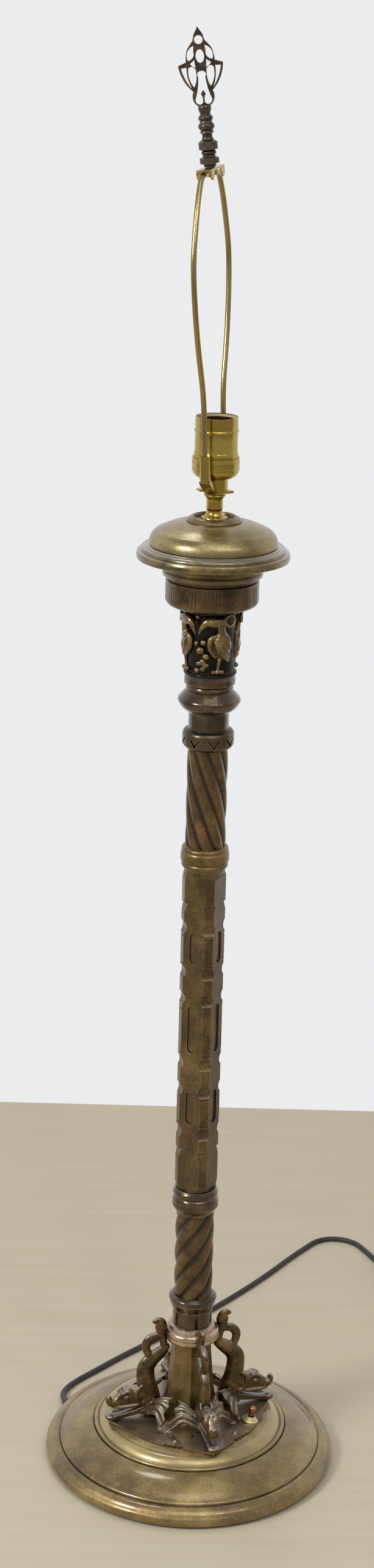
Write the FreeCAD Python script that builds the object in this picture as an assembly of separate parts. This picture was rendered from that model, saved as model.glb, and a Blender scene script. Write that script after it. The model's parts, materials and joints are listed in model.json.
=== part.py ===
import FreeCAD, Part
import math
import os

# A cast brass floor lamp: a round dish base with four dolphins, a column of twisted and faceted
# castings threaded on one long tube, a capital with birds, and a socket with harp and finial.
# Azimuths are degrees seen from above, from the front (-Y) towards the right (+X).
# Heights are measured from the floor.

V = FreeCAD.Vector
UP = V(0, 0, 1)
AHEAD = V(0, -1, 0)
SIDE = V(1, 0, 0)

# Base
base_radius = 126.5
base_top_z = 38.0
rim_lift = 0.8
dish_wall = 3.5
felt_thickness = 2.0
felt_gap = 0.8
weight_radius = 40.0
weight_height = 24.5
# Raised plate with four corners
ornament_azimuth = 17.0
plate_radius = 62.5
plate_corner_reach = 11.5
plate_corner_radius = plate_radius + plate_corner_reach
plate_thickness = 2.2
plate_nick_radius = 2.3
plate_nick_spread = 29.5
plate_stud_radius = 2.6
plate_screw_radius = 1.6
# Long tube that holds the stack together
rod_radius = 5.1
rod_bore_radius = 3.6
rod_gap = 0.3
rod_bottom_z = 3.4
casting_bore_radius = 12.0
nut_height = 4.5
nut_across_flats = 19.0
washer_thickness = 1.2
washer_radius = 14.0
# Pedestal and dolphins
pedestal_foot_radius = 33.0
pedestal_top_z = 112.5
dolphin_overhang = 2.0
dolphin_reach = plate_corner_radius + dolphin_overhang
dolphin_top_z = 134.0
dolphin_body_radius = 8.8
brow_radius = 5.6
brow_thickness = 2.0
eye_radius = 2.6
fin_spread = 44.0
fin_root_spread = 9.0
fin_thickness = 3.4
fin_groove_depth = 0.9
# Column, from below
roll_radius = 23.6
roll_top_z = 128.0
lower_collar_radius = 20.8
lower_collar_top_z = 157.0
column_radius = 16.7
lower_twist_top_z = 236.5
lower_twist_turn = 211.0
lower_twist_strands = 6
lower_twist_sections = 12
lower_knuckle_radius = 19.7
lower_knuckle_top_z = 259.0
shaft_top_z = 549.0
shaft_face_distance = 15.2
shaft_corner_distance = 17.75
upper_knuckle_radius = 20.0
upper_knuckle_top_z = 569.0
upper_twist_top_z = 653.0
upper_twist_turn = -120.0
upper_twist_strands = 8
upper_twist_sections = 8
upper_twist_azimuth = 29.0
groove_depth = 2.1
zigzag_radius = 21.0
zigzag_top_z = 669.0
torus_radius = 25.3
torus_top_z = 702.0
cushion_radius = 20.8
cushion_top_z = 715.5
# Capital
capital_radius = 24.4
capital_core_radius = 17.5
capital_ring_radius = 23.0
capital_ring_top_z = 725.5
capital_flare_radius = 26.2
capital_rim_radius = 24.5
capital_rim_z = 766.5
capital_top_z = 770.0
pair_azimuth = -27.0
drum_radius = 37.4
drum_top_z = 796.0
flute_radius = 0.8
flute_groups = 12
cornice_radius = 61.0
cornice_top_z = 821.0
dome_radius = 51.2
dome_top_z = 839.5
dome_wall = 2.2
check_ring_radius = 22.0
check_ring_height = 4.5
riser_radius = 10.8
riser_top_z = 863.0
# Saddle, harp and finial
saddle_thickness = 1.7
saddle_arm_width = 8.6
saddle_tab_reach = 15.3
harp_azimuth = -16.0
harp_lean = 2.5
harp_half_width = 49.0
harp_foot_offset = 27.0
harp_height = 249.0
harp_wire_radius = 2.2
ferrule_radius = 4.2
ferrule_length = 19.5
ferrule_gap = 0.35
ferrule_rest_height = 13.0
ferrule_travel = 13.0
post_height = 24.5
finial_lean = 7.0
harp_plate_length = 46.0
harp_plate_width = 12.0
harp_plate_thickness = 1.4
stud_radius = 3.1
stud_length = 13.0
finial_gap = 0.3
finial_collar_radius = 7.4
finial_stem_height = 45.5
finial_height = 103.5
finial_half_width = 17.0
finial_thickness = 3.6
# Lampholder
socket_cap_radius = 18.9
socket_cap_top_z = 891.0
socket_neck_radius = 10.0
socket_shell_radius = 16.9
socket_bottom_z = 864.7
socket_top_z = 922.6
sheet_wall = 0.7
liner_wall = 0.6
screw_shell_radius = 14.0
screw_shell_bottom_z = 898.0
core_bottom_z = 878.0
contact_width = 5.0
terminal_radius = 3.0
terminal_height = 3.2
wire_radius = 1.2
# Foot switch
switch_azimuth = 73.2
switch_inset = 7.1
switch_distance = plate_radius - switch_inset
switch_lean = 12.0
switch_lean_azimuth = 107.0
switch_body_radius = 7.6
switch_body_length = 17.0
escutcheon_radius = 7.1
escutcheon_height = 3.9
switch_nose_radius = 3.4
button_neck_radius = 1.9
button_ball_radius = 3.3
button_rise = 10.8
button_travel = 2.4
button_gap = 0.3
# Lead
cord_radius = 2.5
# By the rim the route's points are azimuths, distances beyond the rim and heights
rim_route = [(-118.5, -0.8, 5.8), (-121.6, 9, 4.6), (-125.6, 16.1, 3.3), (-130.4, 20, 2.6),
             (-136.4, 22, 2.6)]
floor_route = [(-88, 123.5, 2.6), (-67, 148, 2.6), (-42, 174, 2.6), (-10, 208, 2.6), (22, 245, 2.6),
               (51, 281, 2.6), (77.5, 317, 2.6), (101, 353, 2.6), (120, 379, 2.6), (129.2, 390.8, 2.6),
               (143, 396.8, 2.6), (157.9, 395.5, 2.6), (170.4, 387.2, 2.6), (177.4, 374, 2.6),
               (188, 353, 2.6), (194.5, 335.5, 2.6), (199, 318, 2.6)]
coil_outer_radius = 36.0
coil_pitch = 5.8
coil_layers = 4
turns_per_layer = 2.5
coil_start_azimuth = 195.0
tail_route = [(199, 318, 19.85), (202.6, 304.5, 18.2), (208.5, 291, 13.5), (217.5, 279.5, 8.0),
              (230, 271.5, 4.6), (245, 268.5, 4.6), (258, 268.5, 4.6)]
plug_length = 30.0
plug_width = 23.0
plug_height = 9.0
blade_length = 16.0
blade_width = 6.3
blade_thickness = 1.6
blade_spacing = 12.7
bushing_radius = 4.2
bushing_length = 19.0
bushing_cone_length = 7.0

overrun = 1.0
full_turn = 360.0
parts_folder = "parts"
os.makedirs(parts_folder, exist_ok=True)
made = {}


def put(name, shape):
    """Keep a finished piece and write it to its own file."""
    made[name] = shape
    shape.exportStep(parts_folder + "/" + name + ".step")


def polar(radius, azimuth, z):
    """Point at a distance from the axis, on an azimuth."""
    angle = math.radians(azimuth)
    return V(radius * math.sin(angle), -radius * math.cos(angle), z)


def largest(shape):
    """The biggest solid of a shape, without the slivers a cut leaves."""
    return max(shape.Solids, key=lambda s: s.Volume)


def turned_copy(shape, azimuth):
    """Copy of a shape turned about the lamp's axis."""
    return shape.copy().rotated(V(), UP, azimuth)


def tube(radius, bore, base_z, height):
    """Upright round bar, with a bore unless that is zero."""
    bar = Part.makeCylinder(radius, height, V(0, 0, base_z))
    if bore:
        bar = bar.cut(Part.makeCylinder(bore, height + 2 * overrun, V(0, 0, base_z - overrun)))
    return bar


def path_edges(steps, place):
    """Edges through steps of shares: two numbers end a line, four are an arc's middle and end."""
    edges = []
    here = place(steps[0][0], steps[0][1])
    for step in steps[1:]:
        there = place(step[-2], step[-1])
        if len(step) == 4:
            edges.append(Part.Arc(here, place(step[0], step[1]), there).toShape())
        else:
            edges.append(Part.makeLine(here, there))
        here = there
    return edges


def turned(shares, radius, base_z, height, bore):
    """Lathe-turned piece whose outline is given as shares of its radius and height."""
    def place(r_share, z_share):
        return V(radius * r_share, 0, base_z + height * z_share)
    edges = path_edges(shares, place)
    low = place(*shares[0][-2:])
    high = place(*shares[-1][-2:])
    foot = V(bore, 0, low.z)
    head = V(bore, 0, high.z)
    for a, b in ((high, head), (head, foot), (foot, low)):
        if a.distanceToPoint(b) > 0:
            edges.append(Part.makeLine(a, b))
    face = Part.Face(Part.Wire(edges))
    return face.revolve(V(), UP, full_turn)


def strand_section(radius, depth, strands, azimuth, z):
    """Closed outline of convex strands that meet in grooves."""
    edges = []
    step = full_turn / strands
    for k in range(strands):
        start = azimuth + k * step
        edges.append(Part.Arc(polar(radius - depth, start, z), polar(radius, start + step / 2, z),
                              polar(radius - depth, start + step, z)).toShape())
    return Part.Wire(edges)


def twisted(radius, strands, azimuth, turn, base_z, top_z, sections):
    """Hollow column of strands that wind round the axis, with a groove on the azimuth at its foot."""
    wires = []
    for k in range(sections + 1):
        share = k / sections
        z = base_z + (top_z - base_z) * share
        wires.append(strand_section(radius, groove_depth, strands, azimuth + turn * share, z))
    body = Part.makeLoft(wires, True, False)
    return body.cut(tube(casting_bore_radius, 0, base_z - overrun, top_z - base_z + 2 * overrun))


def eight_sided(face_distance, corner_distance, z):
    """Outline of a square with its four corners cut off, corners on the ornament's azimuth."""
    diagonal = math.sqrt(0.5)
    half_face = (corner_distance - face_distance * diagonal) / diagonal
    reach = math.hypot(face_distance, half_face)
    spread = math.degrees(math.atan2(half_face, face_distance))
    points = []
    for k in range(4):
        middle = ornament_azimuth + full_turn / 8 + k * full_turn / 4
        points.append(polar(reach, middle - spread, z))
        points.append(polar(reach, middle + spread, z))
    return Part.makePolygon(points + [points[0]])


def chain_loft(stations, place, scale):
    """Oval body through stations of shares: outward, up, thickness and breadth. It bends in one plane."""
    centres = [place(s[0], s[1]) for s in stations]
    wires = []
    for k, station in enumerate(stations):
        before = centres[max(k - 1, 0)]
        after = centres[min(k + 1, len(centres) - 1)]
        along = after.sub(before)
        tilt = math.degrees(math.atan2(-along.y, along.z))
        thick = station[2] * scale
        broad = station[3] * scale
        if thick >= broad:
            ring = Part.Wire(Part.Ellipse(V(), thick, broad).toShape())
            ring.rotate(V(), UP, full_turn / 4)
        else:
            ring = Part.Wire(Part.Ellipse(V(), broad, thick).toShape())
        ring.rotate(V(), SIDE, tilt)
        ring.translate(centres[k])
        wires.append(ring)
    return Part.makeLoft(wires, True, False)


# Base: a spun and cast dish with a rolled rim, a broad slope, a ridge and an inner roll
dish_height = base_top_z - rim_lift
dish_shares = [(0.93, 0), (0.972, 0), (1.0, 0.14, 0.985, 0.27), (0.955, 0.38, 0.915, 0.41),
               (0.903, 0.39), (0.897, 0.45, 0.885, 0.475), (0.80, 0.665, 0.675, 0.795), (0.664, 0.775),
               (0.654, 0.85, 0.642, 0.845), (0.634, 0.82), (0.60, 0.95, 0.553, 0.985), (0.545, 1.0)]
dish = turned(dish_shares, base_radius, rim_lift, dish_height, rod_radius + rod_gap)
hollow_shares = [(0.93, -0.1), (0.93, 0.0325), (0.90, 0.0325), (0.885, 0.32), (0.80, 0.55, 0.67, 0.68),
                 (0.60, 0.80, 0.54, 0.92)]
hollow = turned(hollow_shares, base_radius, rim_lift, dish_height, 0)
ceiling_z = base_top_z - dish_wall
hollow = hollow.common(tube(base_radius, 0, -overrun - dish_height, ceiling_z + overrun + dish_height))
dish = dish.cut(hollow)
cord_route = [polar(base_radius + beyond, azimuth, z) for azimuth, beyond, z in rim_route]
cord_route += [V(*p) for p in floor_route]
exit_point = cord_route[0]
exit_heading = cord_route[1].sub(exit_point).normalize()
bushing_start = exit_point.sub(exit_heading * bushing_length)
hole_radius = bushing_radius + finial_gap
bushing_hole = Part.makeCylinder(hole_radius, bushing_length * 2, bushing_start, exit_heading)
dish = dish.cut(bushing_hole)

felt_radius = base_radius * 0.93 - felt_gap
put("felt_pad", tube(felt_radius, washer_radius + felt_gap, 0, felt_thickness))
weight = tube(weight_radius, rod_radius + rod_gap, ceiling_z - weight_height, weight_height)
put("base_weight", weight)

# The plate on the dish is a disc drawn out to four points, with nicked edges between them
plate_z = base_top_z
plate_top_z = plate_z + plate_thickness
tangent_spread = math.degrees(math.acos(plate_radius / plate_corner_radius))
plate_edges = []
for k in range(4):
    corner = ornament_azimuth + k * full_turn / 4
    tip = polar(plate_corner_radius, corner, plate_z)
    left = polar(plate_radius, corner - tangent_spread, plate_z)
    right = polar(plate_radius, corner + tangent_spread, plate_z)
    mid = polar(plate_radius, corner + full_turn / 8, plate_z)
    following = polar(plate_radius, corner + full_turn / 4 - tangent_spread, plate_z)
    plate_edges += [Part.makeLine(left, tip), Part.makeLine(tip, right)]
    plate_edges.append(Part.Arc(right, mid, following).toShape())
plate = Part.Face(Part.Wire(plate_edges)).extrude(UP * plate_thickness)
plate = plate.cut(tube(rod_radius + rod_gap, 0, plate_z - overrun, plate_thickness + 2 * overrun))
nick_places = (-1.5, -0.5, 0.5, 1.5)
nick_step = math.degrees(2 * plate_nick_radius / plate_radius)
cut_height = plate_thickness + 2 * overrun
studs = []
for azimuth in (-plate_nick_spread, plate_nick_spread):
    for half in range(2):
        side = ornament_azimuth + azimuth + half * full_turn / 2
        for place in nick_places:
            spot = polar(plate_radius + plate_nick_radius * 0.3, side + place * nick_step, plate_z - overrun)
            plate = plate.cut(Part.makeCylinder(plate_nick_radius, cut_height, spot))
        stud_z = plate_top_z - plate_stud_radius * 0.45
        stud_spot = polar(plate_radius - plate_nick_radius * 3.6, side, stud_z)
        studs.append(Part.makeSphere(plate_stud_radius, stud_spot))
        screw_spot = polar(plate_radius * 0.71, side + full_turn / 22, plate_z - overrun)
        plate = plate.cut(Part.makeCylinder(plate_screw_radius, cut_height, screw_spot))
over_plate = tube(plate_corner_radius, 0, plate_z, dolphin_top_z)
plate = plate.fuse([stud.common(over_plate) for stud in studs]).removeSplitter()

# The foot switch leans outward, so its hole runs through plate and dish on the same slanted axis
switch_foot = polar(switch_distance, switch_azimuth, plate_top_z)
lean_angle = math.radians(switch_lean)
lean_way = polar(1, switch_lean_azimuth, 0)
switch_axis = V(lean_way.x * math.sin(lean_angle), lean_way.y * math.sin(lean_angle), math.cos(lean_angle))


def on_switch(distance):
    """Point on the switch's axis, above or below the plate's top."""
    return switch_foot.add(switch_axis * distance)


def switch_bar(radius, start, length):
    """Round bar on the switch's axis."""
    return Part.makeCylinder(radius, length, on_switch(start), switch_axis)


nose_hole = switch_bar(switch_nose_radius + button_gap, -switch_body_length, 2 * switch_body_length)
plate = plate.cut(nose_hole)
dish = dish.cut(nose_hole)
put("corner_plate", plate)
put("base_dish", dish)
under_plate = (ceiling_z - plate_top_z) / math.cos(lean_angle) - switch_body_radius * math.tan(lean_angle)
body_start = under_plate - button_gap - switch_body_length
button_bore = button_neck_radius + button_gap
switch_body = switch_bar(switch_body_radius, body_start, switch_body_length)
switch_body = switch_body.fuse(switch_bar(switch_nose_radius, body_start, escutcheon_height - body_start))
button_foot = -button_travel * 2
button_bottom = button_foot - button_travel - button_gap
switch_body = switch_body.cut(switch_bar(button_bore, button_bottom, switch_body_length * 2))
put("switch_body", switch_body)
escutcheon_seat = escutcheon_radius * math.tan(lean_angle)
escutcheon = switch_bar(escutcheon_radius, -escutcheon_seat, escutcheon_seat + escutcheon_height * 0.56)
escutcheon = escutcheon.fuse(switch_bar(escutcheon_radius * 0.76, 0, escutcheon_height * 0.80))
escutcheon = escutcheon.fuse(switch_bar(escutcheon_radius * 0.6, 0, escutcheon_height))
escutcheon = escutcheon.cut(switch_bar(switch_nose_radius, -switch_body_length, switch_body_length * 2))
above_plate = Part.makeBox(4 * escutcheon_radius, 4 * escutcheon_radius, switch_body_length,
                           switch_foot.sub(V(2 * escutcheon_radius, 2 * escutcheon_radius, 0)))
put("switch_escutcheon", escutcheon.common(above_plate))
button = switch_bar(button_neck_radius, button_foot, button_rise - button_foot)
button = button.fuse(Part.makeSphere(button_ball_radius, on_switch(button_rise)))
button = button.fuse(switch_bar(button_neck_radius * 1.35, button_rise - button_ball_radius * 1.25,
                                button_ball_radius * 0.4))
put("switch_button", button)

# Long tube, with a washer and a nut under the weight
washer_z = ceiling_z - weight_height - washer_thickness
rod_top_z = socket_bottom_z + ferrule_rest_height
put("threaded_rod", tube(rod_radius, rod_bore_radius, rod_bottom_z, rod_top_z - rod_bottom_z))
put("rod_washer", tube(washer_radius, rod_radius + rod_gap, washer_z, washer_thickness))
nut_corner = nut_across_flats / math.sqrt(3)
hexagon = [polar(nut_corner, k * full_turn / 6, washer_z - nut_height) for k in range(7)]
nut = Part.Face(Part.makePolygon(hexagon)).extrude(UP * nut_height)
put("rod_nut", nut.cut(tube(rod_radius, 0, washer_z - nut_height - overrun, nut_height + 2 * overrun)))

# Pedestal: an eight-sided casting that flares out to the plate
pedestal_height = pedestal_top_z - plate_top_z
pedestal_shares = [(0, 1.0), (0.05, 0.84), (0.15, 0.71), (0.36, 0.61), (0.65, 0.555), (1.0, 0.53)]
face_share = math.cos(math.radians(30))
pedestal_wires = [eight_sided(pedestal_foot_radius * r * face_share * 1.03, pedestal_foot_radius * r * 0.97,
                              plate_top_z + pedestal_height * z) for z, r in pedestal_shares]
pedestal = Part.makeLoft(pedestal_wires, True, False)
pedestal = pedestal.cut(tube(casting_bore_radius, 0, plate_top_z - overrun, pedestal_height + 2 * overrun))
put("pedestal", pedestal)

# Rolled collar over the dolphins' backs
roll_height = roll_top_z - pedestal_top_z
roll_shares = [(0.86, 0), (0.985, 0.10, 1.0, 0.38), (0.985, 0.66, 0.88, 0.76), (0.875, 0.88, 0.85, 0.97),
               (0.80, 1.0)]
roll = turned(roll_shares, roll_radius, pedestal_top_z, roll_height, rod_radius + rod_gap)
put("rolled_collar", roll)

# Dolphins: head outward on a plate corner, body rising in an S, tail curled in a loop by the collar


def on_dolphin(out_share, up_share):
    """Point in the middle plane of a dolphin that faces the front."""
    return V(0, -dolphin_reach * out_share, dolphin_top_z * up_share)


body_shares = [(0.289, 0.799, 0.36, 0.32), (0.336, 0.769, 0.57, 0.42), (0.408, 0.735, 0.73, 0.51),
               (0.487, 0.698, 0.84, 0.56), (0.539, 0.649, 0.93, 0.58), (0.543, 0.590, 0.97, 0.61),
               (0.533, 0.530, 1.00, 0.66), (0.507, 0.463, 1.08, 0.71), (0.474, 0.396, 1.05, 0.70),
               (0.450, 0.335, 0.91, 0.60), (0.445, 0.285, 0.80, 0.55)]
head_shares = [(0.480, 0.463, 0.80, 0.57), (0.605, 0.463, 1.07, 0.64), (0.697, 0.457, 1.14, 0.61),
               (0.776, 0.448, 1.02, 0.57), (0.842, 0.435, 0.80, 0.545), (0.901, 0.425, 0.57, 0.52),
               (0.950, 0.431, 0.43, 0.50), (0.972, 0.450, 0.32, 0.43), (0.965, 0.470, 0.17, 0.30)]
jaw_shares = [(0.460, 0.370, 0.62, 0.57), (0.580, 0.354, 0.47, 0.59), (0.685, 0.338, 0.34, 0.59),
              (0.790, 0.329, 0.29, 0.60), (0.882, 0.323, 0.29, 0.625), (0.941, 0.321, 0.36, 0.66),
              (0.984, 0.324, 0.17, 0.39)]
stalk_shares = [(0.322, 0.772, 0.45, 0.39), (0.333, 0.828, 0.36, 0.34), (0.355, 0.873, 0.39, 0.34),
                (0.362, 0.915, 0.58, 0.39), (0.368, 0.951, 0.67, 0.41), (0.382, 0.981, 0.55, 0.36),
                (0.395, 1.0, 0.24, 0.20)]
lip_shares = [(0.37, 0.972, 0.38, 0.31), (0.425, 0.984, 0.31, 0.27), (0.464, 0.976, 0.15, 0.13)]
loop_shares = [(0.345, 0.876, 0.40, 0.34), (0.425, 0.869, 0.50, 0.36), (0.500, 0.855, 0.49, 0.36),
               (0.534, 0.817, 0.45, 0.36), (0.525, 0.774, 0.42, 0.36), (0.490, 0.731, 0.46, 0.41)]
limbs = [chain_loft(shares, on_dolphin, dolphin_body_radius)
         for shares in (head_shares, jaw_shares, stalk_shares, lip_shares, loop_shares)]
dolphin = chain_loft(body_shares, on_dolphin, dolphin_body_radius).fuse(limbs)
for way in (-1, 1):
    brow_centre = on_dolphin(0.776, 0.468).add(SIDE * (way * dolphin_body_radius * 0.40))
    eye_centre = on_dolphin(0.789, 0.460).add(SIDE * (way * dolphin_body_radius * 0.48))
    dolphin = dolphin.fuse([Part.makeTorus(brow_radius, brow_thickness, brow_centre, SIDE),
                            Part.makeSphere(eye_radius, eye_centre)])
# Breast fins: a ribbed leaf on each side that drapes from the chest over the pedestal's foot to the plate
fin_top_shares = [(0.30, 0.478), (0.408, 0.452, 0.474, 0.414), (0.530, 0.366, 0.64, 0.314)]
fin_foot_share = plate_z / dolphin_top_z
fin_edges = path_edges(fin_top_shares, on_dolphin)
fin_foot_shares = [(0.64, 0.314), (0.64, fin_foot_share), (0.26, fin_foot_share), (0.26, 0.478),
                   (0.30, 0.478)]
fin_edges += path_edges(fin_foot_shares, on_dolphin)
fin = turned_copy(Part.Face(Part.Wire(fin_edges)), -fin_spread).revolve(V(), UP, 2 * fin_spread)
leaf_shares = [(0, 0.64), (0.14, 0.62), (0.26, 0.565), (0.42, 0.535), (0.60, 0.53), (0.80, 0.54),
               (0.99, 0.575), (0.92, 0.51), (0.98, 0.46), (0.90, 0.41), (0.95, 0.36), (0.84, 0.31),
               (0.5, 0.24), (0, 0.24)]
leaf_side = [polar(dolphin_reach * r, fin_spread * share, 0) for share, r in leaf_shares]
mirrored_side = [V(-p.x, p.y, 0) for p in reversed(leaf_side)]
leaf = Part.Face(Part.makePolygon(leaf_side + mirrored_side[1:])).extrude(UP * dolphin_top_z)
fin = fin.common(leaf)
under_shift = V(0, fin_thickness / 2, -fin_thickness)
under_outline = path_edges(fin_top_shares, lambda a, b: on_dolphin(a, b).add(under_shift))
under_start = on_dolphin(*fin_top_shares[0]).add(under_shift)
under_end = on_dolphin(*fin_top_shares[-1][-2:]).add(under_shift)
under_foot = plate_z - overrun - fin_thickness
under_corners = [under_end, V(0, under_end.y, under_foot), V(0, under_start.y, under_foot), under_start]
under_outline += [Part.makeLine(a, b) for a, b in zip(under_corners, under_corners[1:])]
under_fin = Part.Face(Part.Wire(under_outline))
fin_hollows = []
for way in (-1, 1):
    start = min(way * fin_root_spread, way * full_turn / 8)
    fin_hollows.append(turned_copy(under_fin, start).revolve(V(), UP, full_turn / 8 - fin_root_spread))
fin = fin.cut(fin_hollows)
groove_drop = UP * -fin_groove_depth
groove_lift = UP * (2 * overrun)
rib_outline = path_edges(fin_top_shares, lambda a, b: on_dolphin(a, b).add(groove_drop))
rib_start = on_dolphin(*fin_top_shares[0]).add(groove_drop)
rib_end = on_dolphin(*fin_top_shares[-1][-2:]).add(groove_drop)
rib_outline += [Part.makeLine(rib_end, rib_end.add(groove_lift * 4)),
                Part.makeLine(rib_end.add(groove_lift * 4), rib_start.add(groove_lift)),
                Part.makeLine(rib_start.add(groove_lift), rib_start)]
rib_groove = Part.Face(Part.Wire(rib_outline))
groove_width = math.degrees(fin_groove_depth / pedestal_foot_radius)
grooves = []
for share in (0.30, 0.45, 0.70, 0.82):
    for way in (-1, 1):
        start = way * fin_spread * share - groove_width / 2
        grooves.append(turned_copy(rib_groove, start).revolve(V(), UP, groove_width))
dolphin = dolphin.fuse(fin.cut(grooves))
dolphin = turned_copy(dolphin, ornament_azimuth)
above = tube(base_radius, 0, plate_top_z, dolphin_top_z)
dolphin = largest(dolphin.common(above).cut([pedestal, roll]).removeSplitter())
dolphin_names = ("dolphin_front", "dolphin_right", "dolphin_rear", "dolphin_left")
for k, name in enumerate(dolphin_names):
    put(name, turned_copy(dolphin, k * full_turn / 4))

# Lower collar: plain neck, fluted band and a roll
collar_height = lower_collar_top_z - roll_top_z
collar_shares = [(0.825, 0), (0.825, 0.50), (0.86, 0.53), (0.90, 0.62, 0.955, 0.74), (0.93, 0.78),
                 (1.0, 0.86, 0.94, 0.95), (0.84, 1.0)]
collar = turned(collar_shares, lower_collar_radius, roll_top_z, collar_height, rod_radius + rod_gap)
band_flutes = 16
for k in range(band_flutes):
    spot = polar(lower_collar_radius * 0.97, k * full_turn / band_flutes, roll_top_z + collar_height * 0.48)
    collar = collar.cut(Part.makeCylinder(flute_radius, collar_height * 0.28, spot))
put("lower_collar", collar)

put("lower_twist", twisted(column_radius, lower_twist_strands, ornament_azimuth, lower_twist_turn,
                           lower_collar_top_z, lower_twist_top_z, lower_twist_sections))

lower_knuckle_height = lower_knuckle_top_z - lower_twist_top_z
lower_knuckle_shares = [(0.85, 0), (0.87, 0.08), (0.985, 0.20, 1.0, 0.42), (0.985, 0.58, 0.925, 0.66),
                        (0.925, 0.69), (0.99, 0.80, 0.945, 0.93), (0.90, 1.0)]
put("lower_knuckle", turned(lower_knuckle_shares, lower_knuckle_radius, lower_twist_top_z,
                            lower_knuckle_height, rod_radius + rod_gap))

# Faceted shaft: its narrow facets are scooped, its wide faces have sunk panels with round ends
shaft_length = shaft_top_z - lower_knuckle_top_z
shaft = Part.Face(eight_sided(shaft_face_distance, shaft_corner_distance, lower_knuckle_top_z))
shaft = shaft.extrude(UP * shaft_length)
shaft_end_shares = [(0.93, 0), (1.06, 0.03), (1.06, 0.965), (0.93, 1.0)]
shaft = shaft.common(turned(shaft_end_shares, shaft_corner_distance, lower_knuckle_top_z, shaft_length, 0))
shaft = shaft.cut(tube(casting_bore_radius, 0, lower_knuckle_top_z - overrun, shaft_length + 2 * overrun))
pocket_height_share = 0.0345
pocket_depth = 2.0
pocket_centre_shares = (0.189, 0.324, 0.410, 0.610, 0.692, 0.828)
panel_shares = ((0.218, 0.322), (0.443, 0.592), (0.720, 0.816))
slit_shares = (0.215, 0.300, 0.438, 0.574, 0.715, 0.799)
wedge_shares = ((0.106, 0.1335), (0.876, 0.901))
panel_width = 8.2
panel_depth = 1.3
slit_height = 0.9
slit_depth = 1.1
pocket_height = pocket_height_share * shaft_length
pocket_radius = ((pocket_height / 2) ** 2 + pocket_depth ** 2) / (2 * pocket_depth)
cutters = []
for k in range(4):
    corner = ornament_azimuth + k * full_turn / 4
    across = polar(1, corner + full_turn / 4, 0)
    for share in pocket_centre_shares:
        centre = polar(shaft_corner_distance - pocket_depth + pocket_radius, corner,
                       lower_knuckle_top_z + share * shaft_length)
        start = centre.sub(across * (shaft_corner_distance / 2))
        cutters.append(Part.makeCylinder(pocket_radius, shaft_corner_distance, start, across))
    for share in slit_shares:
        box = Part.makeBox(shaft_corner_distance, slit_depth + overrun, slit_height,
                           V(-shaft_corner_distance / 2, -shaft_corner_distance - overrun, 0))
        box.translate(V(0, 0, lower_knuckle_top_z + share * shaft_length))
        cutters.append(turned_copy(box, corner))
    for low, high in wedge_shares:
        points = [V(0, -shaft_corner_distance - overrun, lower_knuckle_top_z + low * shaft_length),
                  V(0, -shaft_corner_distance, lower_knuckle_top_z + low * shaft_length),
                  V(0, -shaft_corner_distance + 2 * slit_depth, lower_knuckle_top_z + high * shaft_length),
                  V(0, -shaft_corner_distance - overrun, lower_knuckle_top_z + high * shaft_length)]
        wedge = Part.Face(Part.makePolygon(points + points[:1])).extrude(SIDE * shaft_corner_distance)
        wedge.translate(SIDE * (-shaft_corner_distance / 2))
        cutters.append(turned_copy(wedge, corner))
    for low, high in panel_shares:
        half = panel_width / 2
        bottom = lower_knuckle_top_z + low * shaft_length
        top = lower_knuckle_top_z + high * shaft_length
        y = -shaft_face_distance - overrun
        slot_edges = [Part.makeLine(V(-half, y, bottom + half), V(-half, y, top - half)),
                      Part.Arc(V(-half, y, top - half), V(0, y, top), V(half, y, top - half)).toShape(),
                      Part.makeLine(V(half, y, top - half), V(half, y, bottom + half)),
                      Part.Arc(V(half, y, bottom + half), V(0, y, bottom),
                                V(-half, y, bottom + half)).toShape()]
        slot = Part.Face(Part.Wire(slot_edges)).extrude(V(0, panel_depth + overrun, 0))
        cutters.append(turned_copy(slot, corner + full_turn / 8))
shaft = shaft.cut(cutters)
put("faceted_shaft", shaft)

upper_knuckle_height = upper_knuckle_top_z - shaft_top_z
upper_knuckle_shares = [(0.86, 0), (0.87, 0.05), (0.965, 0.17, 0.93, 0.29), (0.94, 0.32), (1.0, 0.38),
                        (1.005, 0.56, 0.985, 0.74), (0.945, 0.79), (0.965, 0.88, 0.91, 0.97), (0.85, 1.0)]
put("upper_knuckle", turned(upper_knuckle_shares, upper_knuckle_radius, shaft_top_z, upper_knuckle_height,
                            rod_radius + rod_gap))
put("upper_twist", twisted(column_radius, upper_twist_strands, upper_twist_azimuth, upper_twist_turn,
                           upper_knuckle_top_z, upper_twist_top_z, upper_twist_sections))

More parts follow.
